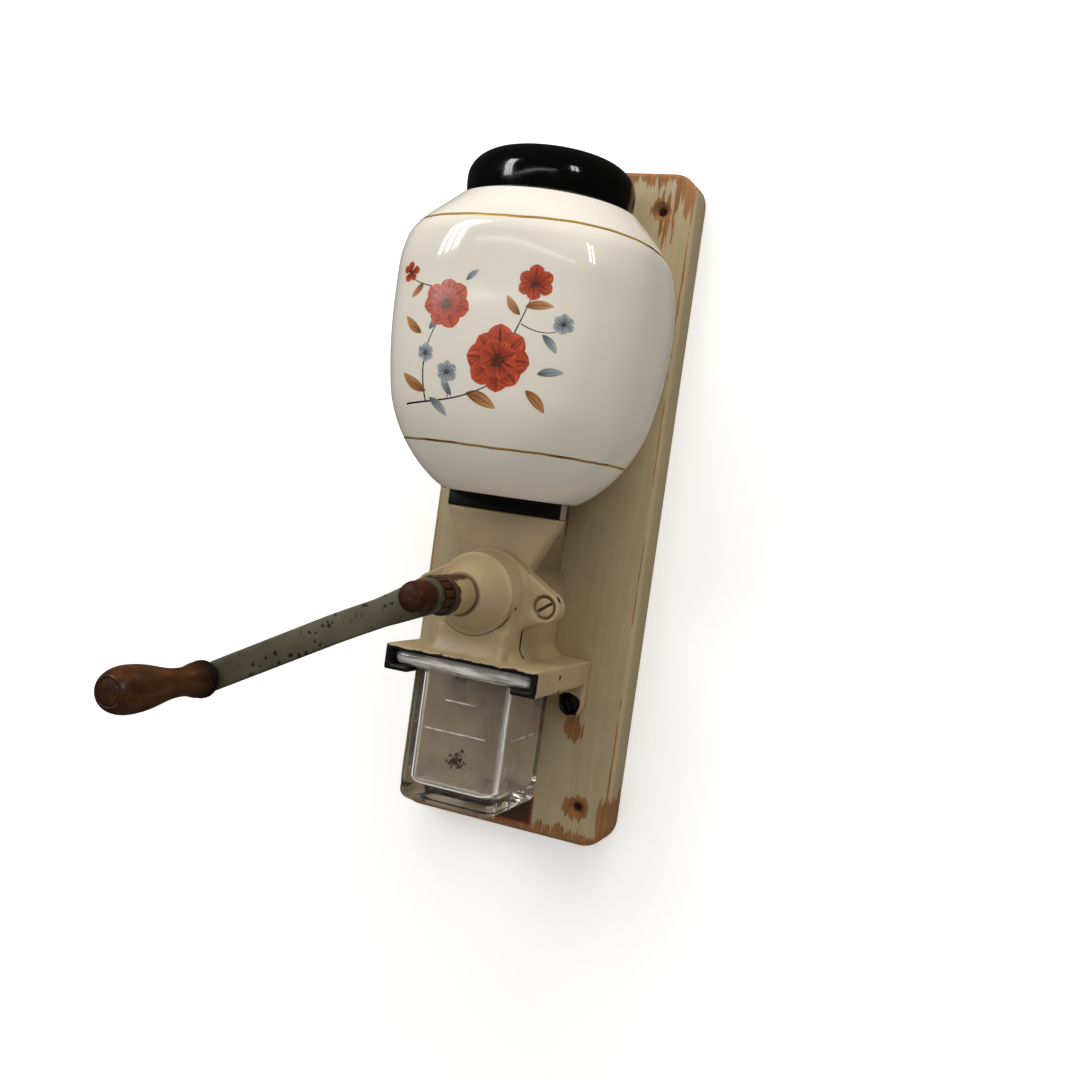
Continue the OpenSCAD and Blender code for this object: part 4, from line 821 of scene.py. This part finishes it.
for name, low, high in (("hip ease", 0.0, "Hip height"), ("round ease", "Round from", "Height"),
                        ("belly ease", 0.0, "Belly height"), ("rim ease", "Belly height", "Height")):
    worth[name] = add("MapRange", worth["height"], worth[low] if isinstance(low, str) else low,
        worth[high], interpolation_type="SMOOTHSTEP")
for name, operation, *terms in (
        # How square the row is
        ("gain", "SUBTRACT", "Squareness", "Base squareness"),
        ("swelled", "MULTIPLY_ADD", "gain", "hip ease", "Base squareness"),
        ("excess", "SUBTRACT", "Squareness", 2.0), ("loss", "MULTIPLY", "excess", "round ease"),
        ("rule", "SUBTRACT", "swelled", "loss"), ("to round", "SUBTRACT", 2.0, "rule"),
        ("power", "MULTIPLY_ADD", "to round", "bore", "rule"), ("half power", "MULTIPLY", "power", 0.5),
        # How far its middle stands off the board
        ("lean in", "SUBTRACT", "Belly out", "Base out"),
        ("lower", "MULTIPLY_ADD", "lean in", "belly ease", "Base out"),
        ("lean out", "SUBTRACT", "Rim out", "Belly out"), ("upper", "MULTIPLY_ADD", "lean out", "rim ease", "lower"),
        ("middle", "ADD", "upper", "shift"), ("room", "SUBTRACT", "middle", "back"),
        ("depth", "MINIMUM", "room", "half"),
        # The turn at which the flat back cuts it
        ("depth share", "DIVIDE", "depth", "half"), ("depth raised", "POWER", "depth share", "half power"),
        ("depth cosine", "MULTIPLY", "depth raised", -1.0), ("open turn", "ARCCOSINE", "depth cosine"),
        ("chord share", "DIVIDE", "Least chord", "half"), ("chord raised", "POWER", "chord share", "half power"),
        ("chord angle", "ARCSINE", "chord raised"), ("chord turn", "SUBTRACT", math.pi, "chord angle"),
        ("turn", "MINIMUM", "open turn", "chord turn"), ("angle", "MULTIPLY", "swing", "turn"),
        # The point on the rounded square
        ("flatness", "DIVIDE", 2.0, "power"), ("sine", "SINE", "angle"), ("sine side", "SIGN", "sine"),
        ("sine size", "ABSOLUTE", "sine"), ("sine raised", "POWER", "sine size", "flatness"),
        ("x share", "MULTIPLY", "sine side", "sine raised"), ("jar x", "MULTIPLY", "half", "x share"),
        ("cosine", "COSINE", "angle"), ("cosine side", "SIGN", "cosine"), ("cosine size", "ABSOLUTE", "cosine"),
        ("cosine raised", "POWER", "cosine size", "flatness"),
        ("y share", "MULTIPLY", "cosine side", "cosine raised"),
        ("out", "MULTIPLY_ADD", "half", "y share", "middle"), ("jar y", "MULTIPLY", "out", -1.0)):
    worth[name] = add(operation, {i: worth[term] if isinstance(term, str) else term for i,
        term in enumerate(terms)})
jar_to = add("CombineXYZ", worth["jar x"], worth["jar y"], worth["height"])
jar_moved = add("VectorMath", jar_to, given["Place"], operation="ADD")
jar_set = add("GeometryNodeSetPosition", {"Geometry": jar_tube, "Position": jar_moved})
close_tree(add, jar_set, given["Material"])
# Glazed earthenware: ivory, very smooth and glossy, with faint unevenness in the glaze's tone and a few specks.
glaze, add = new_material("ivory glaze on earthenware")
place = add("TexCoord").outputs["Object"]
pooling = add("TexNoise", {"Vector": place, "Scale": 1 / (70 * MM), "Detail": 3.0})
specks = add("TexNoise", {"Vector": place, "Scale": 1 / (3 * MM), "Detail": 2.0})
speck = add("MapRange", specks, 0.74, 0.79, 0.0, 0.25)
glaze_tone = add("Mix", {0: pooling, 6: "#dcd5c7", 7: "#e6e0d4"}, data_type="RGBA")
glaze_colour = add("Mix", {0: speck, 6: glaze_tone, 7: "#8d7a5e"}, data_type="RGBA")
close_material(add, glaze_colour, (pooling, 0.05, 0.11), (pooling, 0.06, 1), {"IOR": 1.5})
jar_start = marked("jar rows", jar_rows[:, :3], shift=jar_rows[:, 3] * MM, bore=jar_rows[:, 4])
jar_mesh = grown("jar", jar_tree, jar_start, {
    "Points round": 200, "Rows": len(jar_rows), "Squareness": 3.4, "Base squareness": 2.8, "Height": hopper_h * MM,
    "Hip height": hip_h * MM, "Belly height": belly_h * MM, "Round from": 106 * MM, "Base out": base_out * MM,
    "Belly out": belly_out * MM, "Rim out": rim_out * MM, "Least chord": 4 * MM,
    "Place": (0, -board_t * MM, base_z * MM), "Material": glaze})
jar = link_piece("jar", tidied(jar_mesh, 40), glaze, "mill", "hopper")


# GOLD LINES AND FLOWER SPRAY
# Two thin lines of liquid gold and a spray of flowers in enamel, laid on the glaze by hand and fired. The
# gold has rubbed thin and brown in places.
# The wrap lays flat art on the jar: arc from the front's middle, height above the base, lift off the glaze
jar_wrap, add, given = new_tree("onto the jar", {"Jar": "Object", "Axis": "Vector", "Round": "Float"})
wrap_at = add("SeparateXYZ", add("GeometryNodeInputPosition"))
wrap_turn = add("DIVIDE", wrap_at.outputs[0], given["Round"])
wrap_sine = add("SINE", wrap_turn)
wrap_cosine = add("COSINE", wrap_turn)
wrap_minus = add("MULTIPLY", wrap_sine, -1.0)
wrap_inwards = add("CombineXYZ", wrap_minus, wrap_cosine)
wrap_height = add("CombineXYZ", {2: wrap_at.outputs[1]})
wrap_middle = add("VectorMath", given["Axis"], wrap_height, operation="ADD")
wrap_back = add("VectorMath", {0: wrap_inwards, "Scale": -0.2}, operation="SCALE")
wrap_from = add("VectorMath", wrap_middle, wrap_back, operation="ADD")
wrap_jar = add("GeometryNodeObjectInfo", {"Object": given["Jar"]})
wrap_cast = add("GeometryNodeRaycast", {"Target Geometry": wrap_jar.outputs["Geometry"],
    "Source Position": wrap_from, "Ray Direction": wrap_inwards, "Ray Length": 0.3})
wrap_lift = add("VectorMath", {0: wrap_cast.outputs["Hit Normal"], "Scale": wrap_at.outputs[2]}, operation="SCALE")
wrap_to = add("VectorMath", wrap_cast.outputs["Hit Position"], wrap_lift, operation="ADD")
wrap_set = add("GeometryNodeSetPosition", {"Geometry": given["Geometry"], "Position": wrap_to})
add("NodeGroupOutput", wrap_set)
# A brushed line lies on the jar as it is drawn
line_tree, add, given = new_tree("brushed line", {
    "Jar": "Object", "Axis": "Vector", "Round": "Float", "Material": "Material"})
line_laid = add("GeometryNodeGroup", {
    name: given[name] for name in ("Geometry", "Jar", "Axis", "Round")}, node_tree=jar_wrap)
close_tree(add, line_laid, given["Material"])
# A motif is copied to each of its points, with the point's own turn and size, and then laid on the jar
motif_tree, add, given = new_tree("motifs", {
    "Motif": "Object", "Jar": "Object", "Axis": "Vector", "Round": "Float", "Material": "Material"})
motif_shape = add("GeometryNodeObjectInfo", {"Object": given["Motif"]})
motif_turn = add("GeometryNodeInputNamedAttribute", {"Name": "turn"}, data_type="FLOAT")
motif_size = add("GeometryNodeInputNamedAttribute", {"Name": "size"}, data_type="FLOAT")
motif_spin = add("CombineXYZ", {2: motif_turn})
motif_scale = add("CombineXYZ", motif_size, motif_size, 1.0)
motif_row = add("GeometryNodeInstanceOnPoints", {"Points": given["Geometry"],
    "Instance": motif_shape.outputs["Geometry"], "Rotation": motif_spin, "Scale": motif_scale})
motif_real = add("GeometryNodeRealizeInstances", motif_row)
motif_laid = add("GeometryNodeGroup", {
    "Geometry": motif_real, **{name: given[name] for name in ("Jar", "Axis", "Round")}}, node_tree=jar_wrap)
close_tree(add, motif_laid, given["Material"])
laid_on = {"Jar": jar, "Axis": (0, -(board_t + belly_out) * MM, base_z * MM), "Round": hopper_w / 2 * MM}


def ribbon(path, widths, lift):
    """A flat band with soft edges along a path in the jar's own plane: points and faces."""
    path, widths = np.array(path), np.array(widths)
    along = np.gradient(path, axis=0)
    side = np.column_stack([-along[:, 1], along[:, 0]]) / np.linalg.norm(along, axis=1)[:, None]
    points = []
    for offset, rise in ((-0.5, 0.02), (-0.22, lift), (0.22, lift), (0.5, 0.02)):
        points += [(p[0], p[1], rise) for p in path + side * widths[:, None] * offset]
    count = len(path)
    faces = [(r * count + i, r * count + i + 1, (r + 1) * count + i + 1, (r + 1) * count + i)
             for r in range(3) for i in range(count - 1)]
    return points, faces


# Fired gold: bright yellow metal, worn to a dark brown trace.
gold, add = new_material("fired liquid gold")
place = add("TexCoord").outputs["Object"]
rubbing = add("TexNoise", {"Vector": place, "Scale": 1 / (26 * MM), "Detail": 4.0})
rubbed = add("MapRange", rubbing, 0.42, 0.62, 0.0, 1.0)
gold_tone = add("Mix", {0: rubbed, 6: "#dcae52", 7: "#6e4c22"}, data_type="RGBA")
gold_metal = add("MapRange", {0: rubbed, 3: 0.6, 4: 0.3})
close_material(add, gold_tone, (rubbed, 0.26, 0.5), more={"Metallic": gold_metal})
line_s = np.linspace(-132, 132, 341)
line_points, line_faces = [], []
for line_h, line_w in ((129.3, 1.3), (22.3, 1.1)):
    wander = 0.12 * np.sin(line_s * 0.11 + line_h) + 0.07 * np.sin(line_s * 0.37)
    points, faces = ribbon(np.column_stack([line_s, line_h + wander]), np.full(len(line_s), line_w), 0.09)
    line_faces += [tuple(i + len(line_points) for i in f) for f in faces]
    line_points += points
line_mesh = grown("gold lines", line_tree, marked("lines", line_points, line_faces), {**laid_on, "Material": gold})
gold_lines = link_piece("gold_lines", smoothed(line_mesh, 60), gold, "mill")

# Overglaze enamel: thin, satin, streaked by the brush, each stroke darker at its root. Its marks are hue
# (0 red, 1 ochre, 2 blue grey, 3 umber), along (root to tip) and over (from side to side).
enamel, add = new_material("overglaze enamel")
hue, along, over, turned = (add("Attribute", attribute_name=mark).outputs["Fac"] for mark in ("hue", "along",
    "over", "turn"))
stroke_at = add("CombineXYZ", over, along, turned)
# Brush hairs: about seven streaks over a petal's width
stroke_scale = add("Mapping", {0: stroke_at, "Scale": (5.6, 1.6, 12.0)})
stroke = add("TexNoise", {"Vector": stroke_scale, "Scale": 1.0, "Detail": 4.0})
tones = [add("Mix", {0: along, 6: root, 7: tip}, data_type="RGBA") for root, tip in (("#7d2413", "#d0583a"),
    ("#8a5426", "#d29a66"), ("#5d6670", "#b9bfc2"), ("#3a2a1e", "#5c4634"))]
colour = tones[0]
for step, tone in enumerate(tones[1:]):
    chosen = add("GREATER_THAN", hue, step + 0.5)
    colour = add("Mix", {0: chosen, 6: colour, 7: tone}, data_type="RGBA")
stroke_dark = add("MapRange", stroke, 0.36, 0.64, 1.15, 0.5)
middle_off = add("ABSOLUTE", over)
vein = add("MapRange", middle_off, 0.04, 0.16, 0.55, 1.0)
vein_dark = add("MULTIPLY", stroke_dark, vein)
stroke_shade = add("VectorMath", {0: colour, "Scale": vein_dark}, operation="SCALE")
close_material(add, stroke_shade, (stroke, 0.16, 0.3))


def leaf_shape(name, width, belly_part, droop, bend):
    """A flat leaf or petal, one millimetre long, that grows up from its root."""
    points, along_marks, over_marks = [], [], []
    for t in np.linspace(0, 1, 13):
        wide = max(width * math.sin(math.pi * t ** belly_part) ** 0.75, 0.03) if 0 < t < 1 else 0.03
        for k in np.linspace(-1, 1, 7):
            points.append((k * wide / 2 + bend * t * t, t - droop * wide * k * k, 0.0))
            along_marks.append(t)
            over_marks.append(k)
    faces = [(r * 7 + i, r * 7 + i + 1, (r + 1) * 7 + i + 1, (r + 1) * 7 + i) for r in range(12) for i in range(6)]
    shape = bpy.data.objects.new(name, marked(name, points, faces, along=along_marks, over=over_marks))
    scene.collection.objects.link(shape)
    return shape


brush_hand = np.random.default_rng(7)
# Blooms: arc from the front's middle, height, radius, petals, hue
petals, stamens = [], []
for s, h, radius, count, hue_mark in (
        (11, 63, 15.5, 8, 0), (-19, 87, 12.0, 7, 0), (24, 99, 8.5, 6, 0), (-40, 101, 5.0, 5, 0),
        (-15, 55, 5.5, 6, 2), (-27, 63, 4.5, 6, 2), (38, 82, 4.6, 6, 2)):
    for ring_number, (part, lift) in enumerate(((1.0, 0.05), (0.62, 0.10)) if count > 6 else ((1.0, 0.05),)):
        for i in range(count):
            turn = 2 * math.pi * (i + 0.5 * ring_number) / count + brush_hand.uniform(-0.09, 0.09)
            petals.append((s, h, lift + 0.005 * i, turn, radius * part * brush_hand.uniform(0.92, 1.06), hue_mark))
    for i in range(14):
        turn, far = 2.4 * i, radius * 0.055 * math.sqrt(i)
        stamens.append((s + far * math.cos(turn), h + far * math.sin(turn) - 0.05 * radius, 0.16 + 0.002 * i,
                        turn, radius * 0.10, 3))
# Leaves: arc, height, turn from upright in degrees, length, hue
leaves = [(s, h, 0.03 + 0.004 * i, math.radians(turn), length, hue_mark)
          for i, (s, h, turn, length, hue_mark) in enumerate((
    (-4, 46, -100, 17, 1), (-12, 44, 40, 11, 2), (-26, 45, 70, 15, 1), (-24, 42, -120, 12, 2), (-30, 72, 60, 12, 1),
    (-26, 74, -30, 9, 2), (19, 84, 50, 11, 1), (21, 88, -75, 12, 1), (30, 76, -130, 10, 2), (-32, 96, 150, 9, 1),
    (-10, 98, -40, 8, 2), (26, 50, -125, 13, 1), (30, 58, -70, 11, 2)))]
for name, width, belly_part, droop, bend, marks in (
        ("spray_petals", 0.76, 1.6, -0.05, 0.0, petals), ("spray_leaves", 0.36, 0.8, -0.2, 0.16, leaves),
        ("spray_stamens", 0.9, 1.0, 0.0, 0.0, stamens)):
    motif = leaf_shape(name + " motif", width, belly_part, droop, bend)
    rows = np.array(marks)
    start = marked(name, rows[:, :3], turn=rows[:, 3], size=rows[:, 4], hue=rows[:, 5])
    spray_mesh = grown(name, motif_tree, start, {"Motif": motif, **laid_on, "Material": enamel})
    bpy.data.objects.remove(motif)
    link_piece(name, spray_mesh, enamel, "mill")
stem_points, stem_faces, stem_along = [], [], []
for path, thick in (
        (((-38, 38), (-22, 41), (-6, 42), (10, 52)), 0.9), (((-26, 40), (-30, 58), (-27, 68), (-21, 80)), 0.75),
        (((17, 74), (20, 82), (22, 88), (24, 95)), 0.7), (((-25, 94), (-31, 95), (-36, 96), (-40, 99)), 0.6),
        (((-14, 43), (-14, 47), (-15, 49), (-15, 52)), 0.5), (((-28, 54), (-28, 57), (-27, 59), (-27, 61)), 0.5),
        (((20, 80), (28, 76), (34, 76), (38, 80)), 0.5)):
    curve = bezier(np.array(path, float), np.linspace(0, 1, 40))
    points, faces = ribbon(curve, np.linspace(thick, thick * 0.6, 40), 0.035)
    stem_faces += [tuple(i + len(stem_points) for i in f) for f in faces]
    stem_points += points
    stem_along += list(np.linspace(0, 1, 40)) * 4
stem_start = marked("stems", stem_points, stem_faces, along=stem_along, hue=[3] * len(stem_points))
stem_mesh = grown("stems", line_tree, stem_start, {**laid_on, "Material": enamel})
link_piece("spray_stems", stem_mesh, enamel, "mill")


# LID
# A black moulded cap with a fat round shoulder, an inner skirt in the mouth and a hollow under its top.
# It sits loose on the jar's rim.
lid_d, lid_h, lid_edge_h, lid_round, lid_wall, skirt_h = 84.0, 26.5, 11.0, 17.0, 4.0, 9.0
lid_r, skirt_r = lid_d / 2, mouth_d / 2 - 0.3
lid_bulge = 1.1
swell = [(lid_r - 0.5 + (lid_bulge + 0.5) * math.sin(t), 0.8 + (lid_edge_h - 0.8) * (1 - math.cos(t)))
         for t in np.linspace(0, math.pi / 2, 12)[1:-1]]
swell += [(lid_r + lid_bulge - (lid_round + lid_bulge) * (1 - math.cos(t)),
           lid_edge_h + (lid_h - 0.6 - lid_edge_h) * math.sin(t)) for t in np.linspace(0, math.pi / 2, 26)]
lid_profile = (
    [(lid_r - lid_wall, 0), (lid_r - 1.3, 0), (lid_r - 0.75, 0.2), (lid_r - 0.5, 0.8)] + swell
    + [(16, lid_h - 0.3), (8, lid_h - 0.05), (0.001, lid_h), (0.001, lid_h - lid_wall)]
    + [(skirt_r - lid_wall - 2, lid_h - lid_wall), (skirt_r - lid_wall, lid_h - lid_wall - 2)]
    + [(skirt_r - lid_wall, -skirt_h), (skirt_r, -skirt_h), (skirt_r, lid_edge_h), (lid_r - lid_wall, lid_edge_h)])
# Black phenolic plastic: moulded smooth, deep black and glossy with fine hand scratches.
black_moulding, add = new_material("black phenolic moulding")
place = add("TexCoord").outputs["Object"]
scuff = add("TexNoise", {"Vector": place, "Scale": 1 / (11 * MM), "Detail": 6.0})
scuff_rough = add("MapRange", scuff, 0.4, 0.8, 0.1, 0.24)
scuff_tone = add("Mix", {0: scuff, 6: "#020202", 7: "#070606"}, data_type="RGBA")
close_material(add, scuff_tone, scuff_rough, (scuff, 0.05, 0.5))
lid_mesh = turned_piece("lid", lid_profile, (0, -(board_t + rim_out), base_z + hopper_h), 0.0, black_moulding, 128)
link_piece("lid_cap", lid_mesh, black_moulding, "lid", "hopper_lid")


# RECEIVER GLASS
# A thick pressed glass, square with rounded corners, hung by its flange in the holder. Pressing leaves soft
# edges, and lines are moulded on its front and sides to measure the coffee.
glass_low, glass_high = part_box("receiver_glass")
flange_top, glass_foot = glass_high.z / MM, glass_low.z / MM
glass_w, glass_d, glass_back, glass_wall, glass_base, glass_r = 54.0, 56.5, 15.0, 4.5, 9.0, 5.0
flange_half_w = (glass_high.x - glass_low.x) / 2 / MM
flange_back, flange_front = -glass_high.y / MM - board_t, -glass_low.y / MM - board_t
glass_middle, flange_middle = glass_back + glass_d / 2, (flange_back + flange_front) / 2


def round_rectangle(half_x, half_y, r, out, z, count=24):
    """Points round a rectangle with round corners, seen from above, in millimetres."""
    points = []
    for cx, cy, start in ((1, 1, 0), (-1, 1, 90), (-1, -1, 180), (1, -1, 270)):
        for t in np.radians(np.linspace(start, start + 90, count)):
            points.append((
                cx * (half_x - r) + r * math.cos(t), -(board_t + out) + cy * (half_y - r) + r * math.sin(t), z))
    return np.array(points)


def glass_ring(inset, z, r):
    """One ring of the glass's body."""
    return round_rectangle(glass_w / 2 - inset, glass_d / 2 - inset, max(r, 0.4), glass_middle, z)


def flange_ring(inset, z):
    """One ring of the glass's flange."""
    half_d = (flange_front - flange_back) / 2
    return round_rectangle(flange_half_w - inset, half_d - inset, 3.6 - inset, flange_middle, z)


quarter = np.linspace(0, math.pi / 2, 9)
flange_low_z, nose_r = flange_top - 6.6, 2.6
inner_r, inner_foot, inner_round = glass_r - glass_wall / 2 + 1.5, glass_foot + glass_base, 4.0
glass_rings = [glass_ring(26.5, glass_foot, 0.4)]
glass_rings += [glass_ring(glass_r * (1 - math.sin(t)), glass_foot + glass_r * (1 - math.cos(t)),
                           glass_r - 0.8 * (1 - math.sin(t))) for t in quarter]
glass_rings += [glass_ring(0, z, glass_r) for z in np.linspace(glass_foot + glass_r, flange_low_z - 1.5, 6)[1:]]
glass_rings += [glass_ring(-0.2, flange_low_z - 0.4, glass_r)]
glass_rings += [flange_ring(nose_r * (1 - math.sin(t)), flange_low_z + nose_r * (1 - math.cos(t))) for t in quarter]
glass_rings += [flange_ring(nose_r * (1 - math.cos(t)), flange_top - nose_r * (1 - math.sin(t))) for t in quarter]
outer_count = len(glass_rings)
glass_rings += [glass_ring(glass_wall - 1.2, flange_top, inner_r + 1),
                glass_ring(glass_wall - 0.4, flange_top - 0.4, inner_r)]
glass_rings += [glass_ring(glass_wall, z, inner_r)
                for z in np.linspace(flange_top - 1.4, inner_foot + inner_round, 7)]
glass_rings += [glass_ring(glass_wall + inner_round * (1 - math.cos(t)),
                           inner_foot + inner_round * (1 - math.sin(t)), inner_r) for t in quarter[1:]]
glass_rings += [glass_ring(26.5, inner_foot, 0.4)]
ring_count = len(glass_rings[0])
glass_faces = [(r * ring_count + i, r * ring_count + (i + 1) % ring_count,
                (r + 1) * ring_count + (i + 1) % ring_count, (r + 1) * ring_count + i)
               for r in range(len(glass_rings) - 1) for i in range(ring_count)]
last_ring = (len(glass_rings) - 1) * ring_count
glass_faces += [tuple(range(ring_count - 1, -1, -1)), tuple(range(last_ring, last_ring + ring_count))]
inner_mark = [float(r >= outer_count + 2) for r in range(len(glass_rings)) for _ in range(ring_count)]
# Soda glass: clear with a faint brown cast, pressed surfaces a little wavy, inside a film of coffee dust
# with flakes of ground coffee that cling to the front. The holder has rubbed the flange milky.
pressed_glass, add = new_material("clear pressed soda glass")
place = add("TexCoord").outputs["Object"]
inner = add("Attribute", attribute_name="inner").outputs["Fac"]
press = add("TexNoise", {"Vector": place, "Scale": 1 / (18 * MM), "Detail": 3.0})
dust = add("TexNoise", {"Vector": place, "Scale": 1 / (34 * MM), "Detail": 2.0})
streaks_at = add("VectorMath", place, (1, 1, 9), operation="MULTIPLY")
streaks = add("TexNoise", {"Vector": streaks_at, "Scale": 1 / (16 * MM), "Detail": 4.0})
grounds = add("TexNoise", {"Vector": place, "Scale": 1 / (0.9 * MM), "Detail": 4.0})
cling_warp = add("TexNoise", {"Vector": place, "Scale": 1 / (7 * MM), "Detail": 2.0})
cling_at = add("VectorMath", cling_warp.outputs["Color"], (16 * MM, 0, 16 * MM), place, operation="MULTIPLY_ADD")
cling_off = add("VectorMath", cling_at, (10.5 * MM, -85 * MM, -125.5 * MM), operation="SUBTRACT")
cling_part = add("VectorMath", cling_off, (1 / (8 * MM), 1 / (3 * MM), 1 / (8.5 * MM)), operation="MULTIPLY")
cling_far = add("VectorMath", cling_part, operation="LENGTH")
cling = add("MapRange", cling_far, 0.2, 1.2, 0.26, -0.1)
cling_more = add("ADD", cling, grounds)
flake = add("MapRange", cling_more, 0.6, 0.7, 0.0, 0.95)
flake_in = add("MULTIPLY", flake, inner)
dust_film = add("MapRange", dust, 0.3, 0.7, 0.22, 0.42)
dusty = add("MULTIPLY", inner, dust_film)
split = add("SeparateXYZ", place)
flange_part = add("MapRange", split.outputs[2], (flange_low_z - 0.6) * MM, (flange_low_z + 0.6) * MM, 0.02, 1.0)
rubbed = add("MapRange", streaks, 0.36, 0.6, 0.3, 0.9)
flange_rubbed = add("MULTIPLY", flange_part, rubbed)
milky = add("MAXIMUM", dusty, flange_rubbed)
see_through = add("SUBTRACT", 1.0, milky)
clear_part = add("SUBTRACT", see_through, flake_in, use_clamp=True)
glass_tone = add("Mix", {0: inner, 6: "#f4f2ee", 7: "#eee2d3"}, data_type="RGBA")
glass_colour = add("Mix", {0: flake_in, 6: glass_tone, 7: "#402a1a"}, data_type="RGBA")
press_rough = add("MapRange", press, 0.4, 0.7, 0.02, 0.1)
close_material(add, glass_colour, press_rough, (press, 0.12, 1), {"Transmission Weight": clear_part, "IOR": 1.5})
glass_mesh = tidied(marked("glass", np.vstack(glass_rings), glass_faces, inner=inner_mark), 50)
link_piece("pressed_glass", glass_mesh, pressed_glass, "glass", "receiver_glass")
# Pressed rib: the same glass, rubbed bright and a little frosted along its crest.
rib_glass, add = new_material("rubbed glass rib")
place = add("TexCoord").outputs["Object"]
crest = add("TexNoise", {"Vector": place, "Scale": 1 / (6 * MM), "Detail": 3.0})
crest_clear = add("MapRange", crest, 0.35, 0.65, 0.25, 0.8)
close_material(add, "#efeae2", (crest, 0.1, 0.3), more={"Transmission Weight": crest_clear, "IOR": 1.5})
# The measuring lines are round ribs along straight paths
rib_tree, add, given = new_tree("measuring lines", {"Thickness": "Float", "Material": "Material"})
rib_path = add("GeometryNodeMeshToCurve", given["Geometry"])
rib_fine = add("GeometryNodeResampleCurve", {"Curve": rib_path, "Count": 12})
rib_half = add("MULTIPLY", given["Thickness"], 0.5)
rib_round = add("GeometryNodeCurvePrimitiveCircle", {"Resolution": 12, "Radius": rib_half})
rib_swept = add("GeometryNodeCurveToMesh", {"Curve": rib_fine, "Profile Curve": rib_round, "Fill Caps": True})
close_tree(add, rib_swept, given["Material"])
front_y, side_at = -(board_t + glass_back + glass_d), glass_w / 2
rib_ends = [(-6.5, front_y, -104.4), (10, front_y, -104.4), (-15.5, front_y, -120), (17.5, front_y, -120),
            (side_at, -78.6, -120), (side_at, -50, -120), (-side_at, -78.6, -120), (-side_at, -50, -120)]
rib_start = marked("ribs", rib_ends, edges=[(i, i + 1) for i in range(0, len(rib_ends), 2)])
ribs_mesh = grown("ribs", rib_tree, rib_start, {"Thickness": 0.8 * MM, "Material": rib_glass})
measuring_lines = link_piece("measuring_lines", tidied(ribs_mesh, 50), rib_glass, "glass")
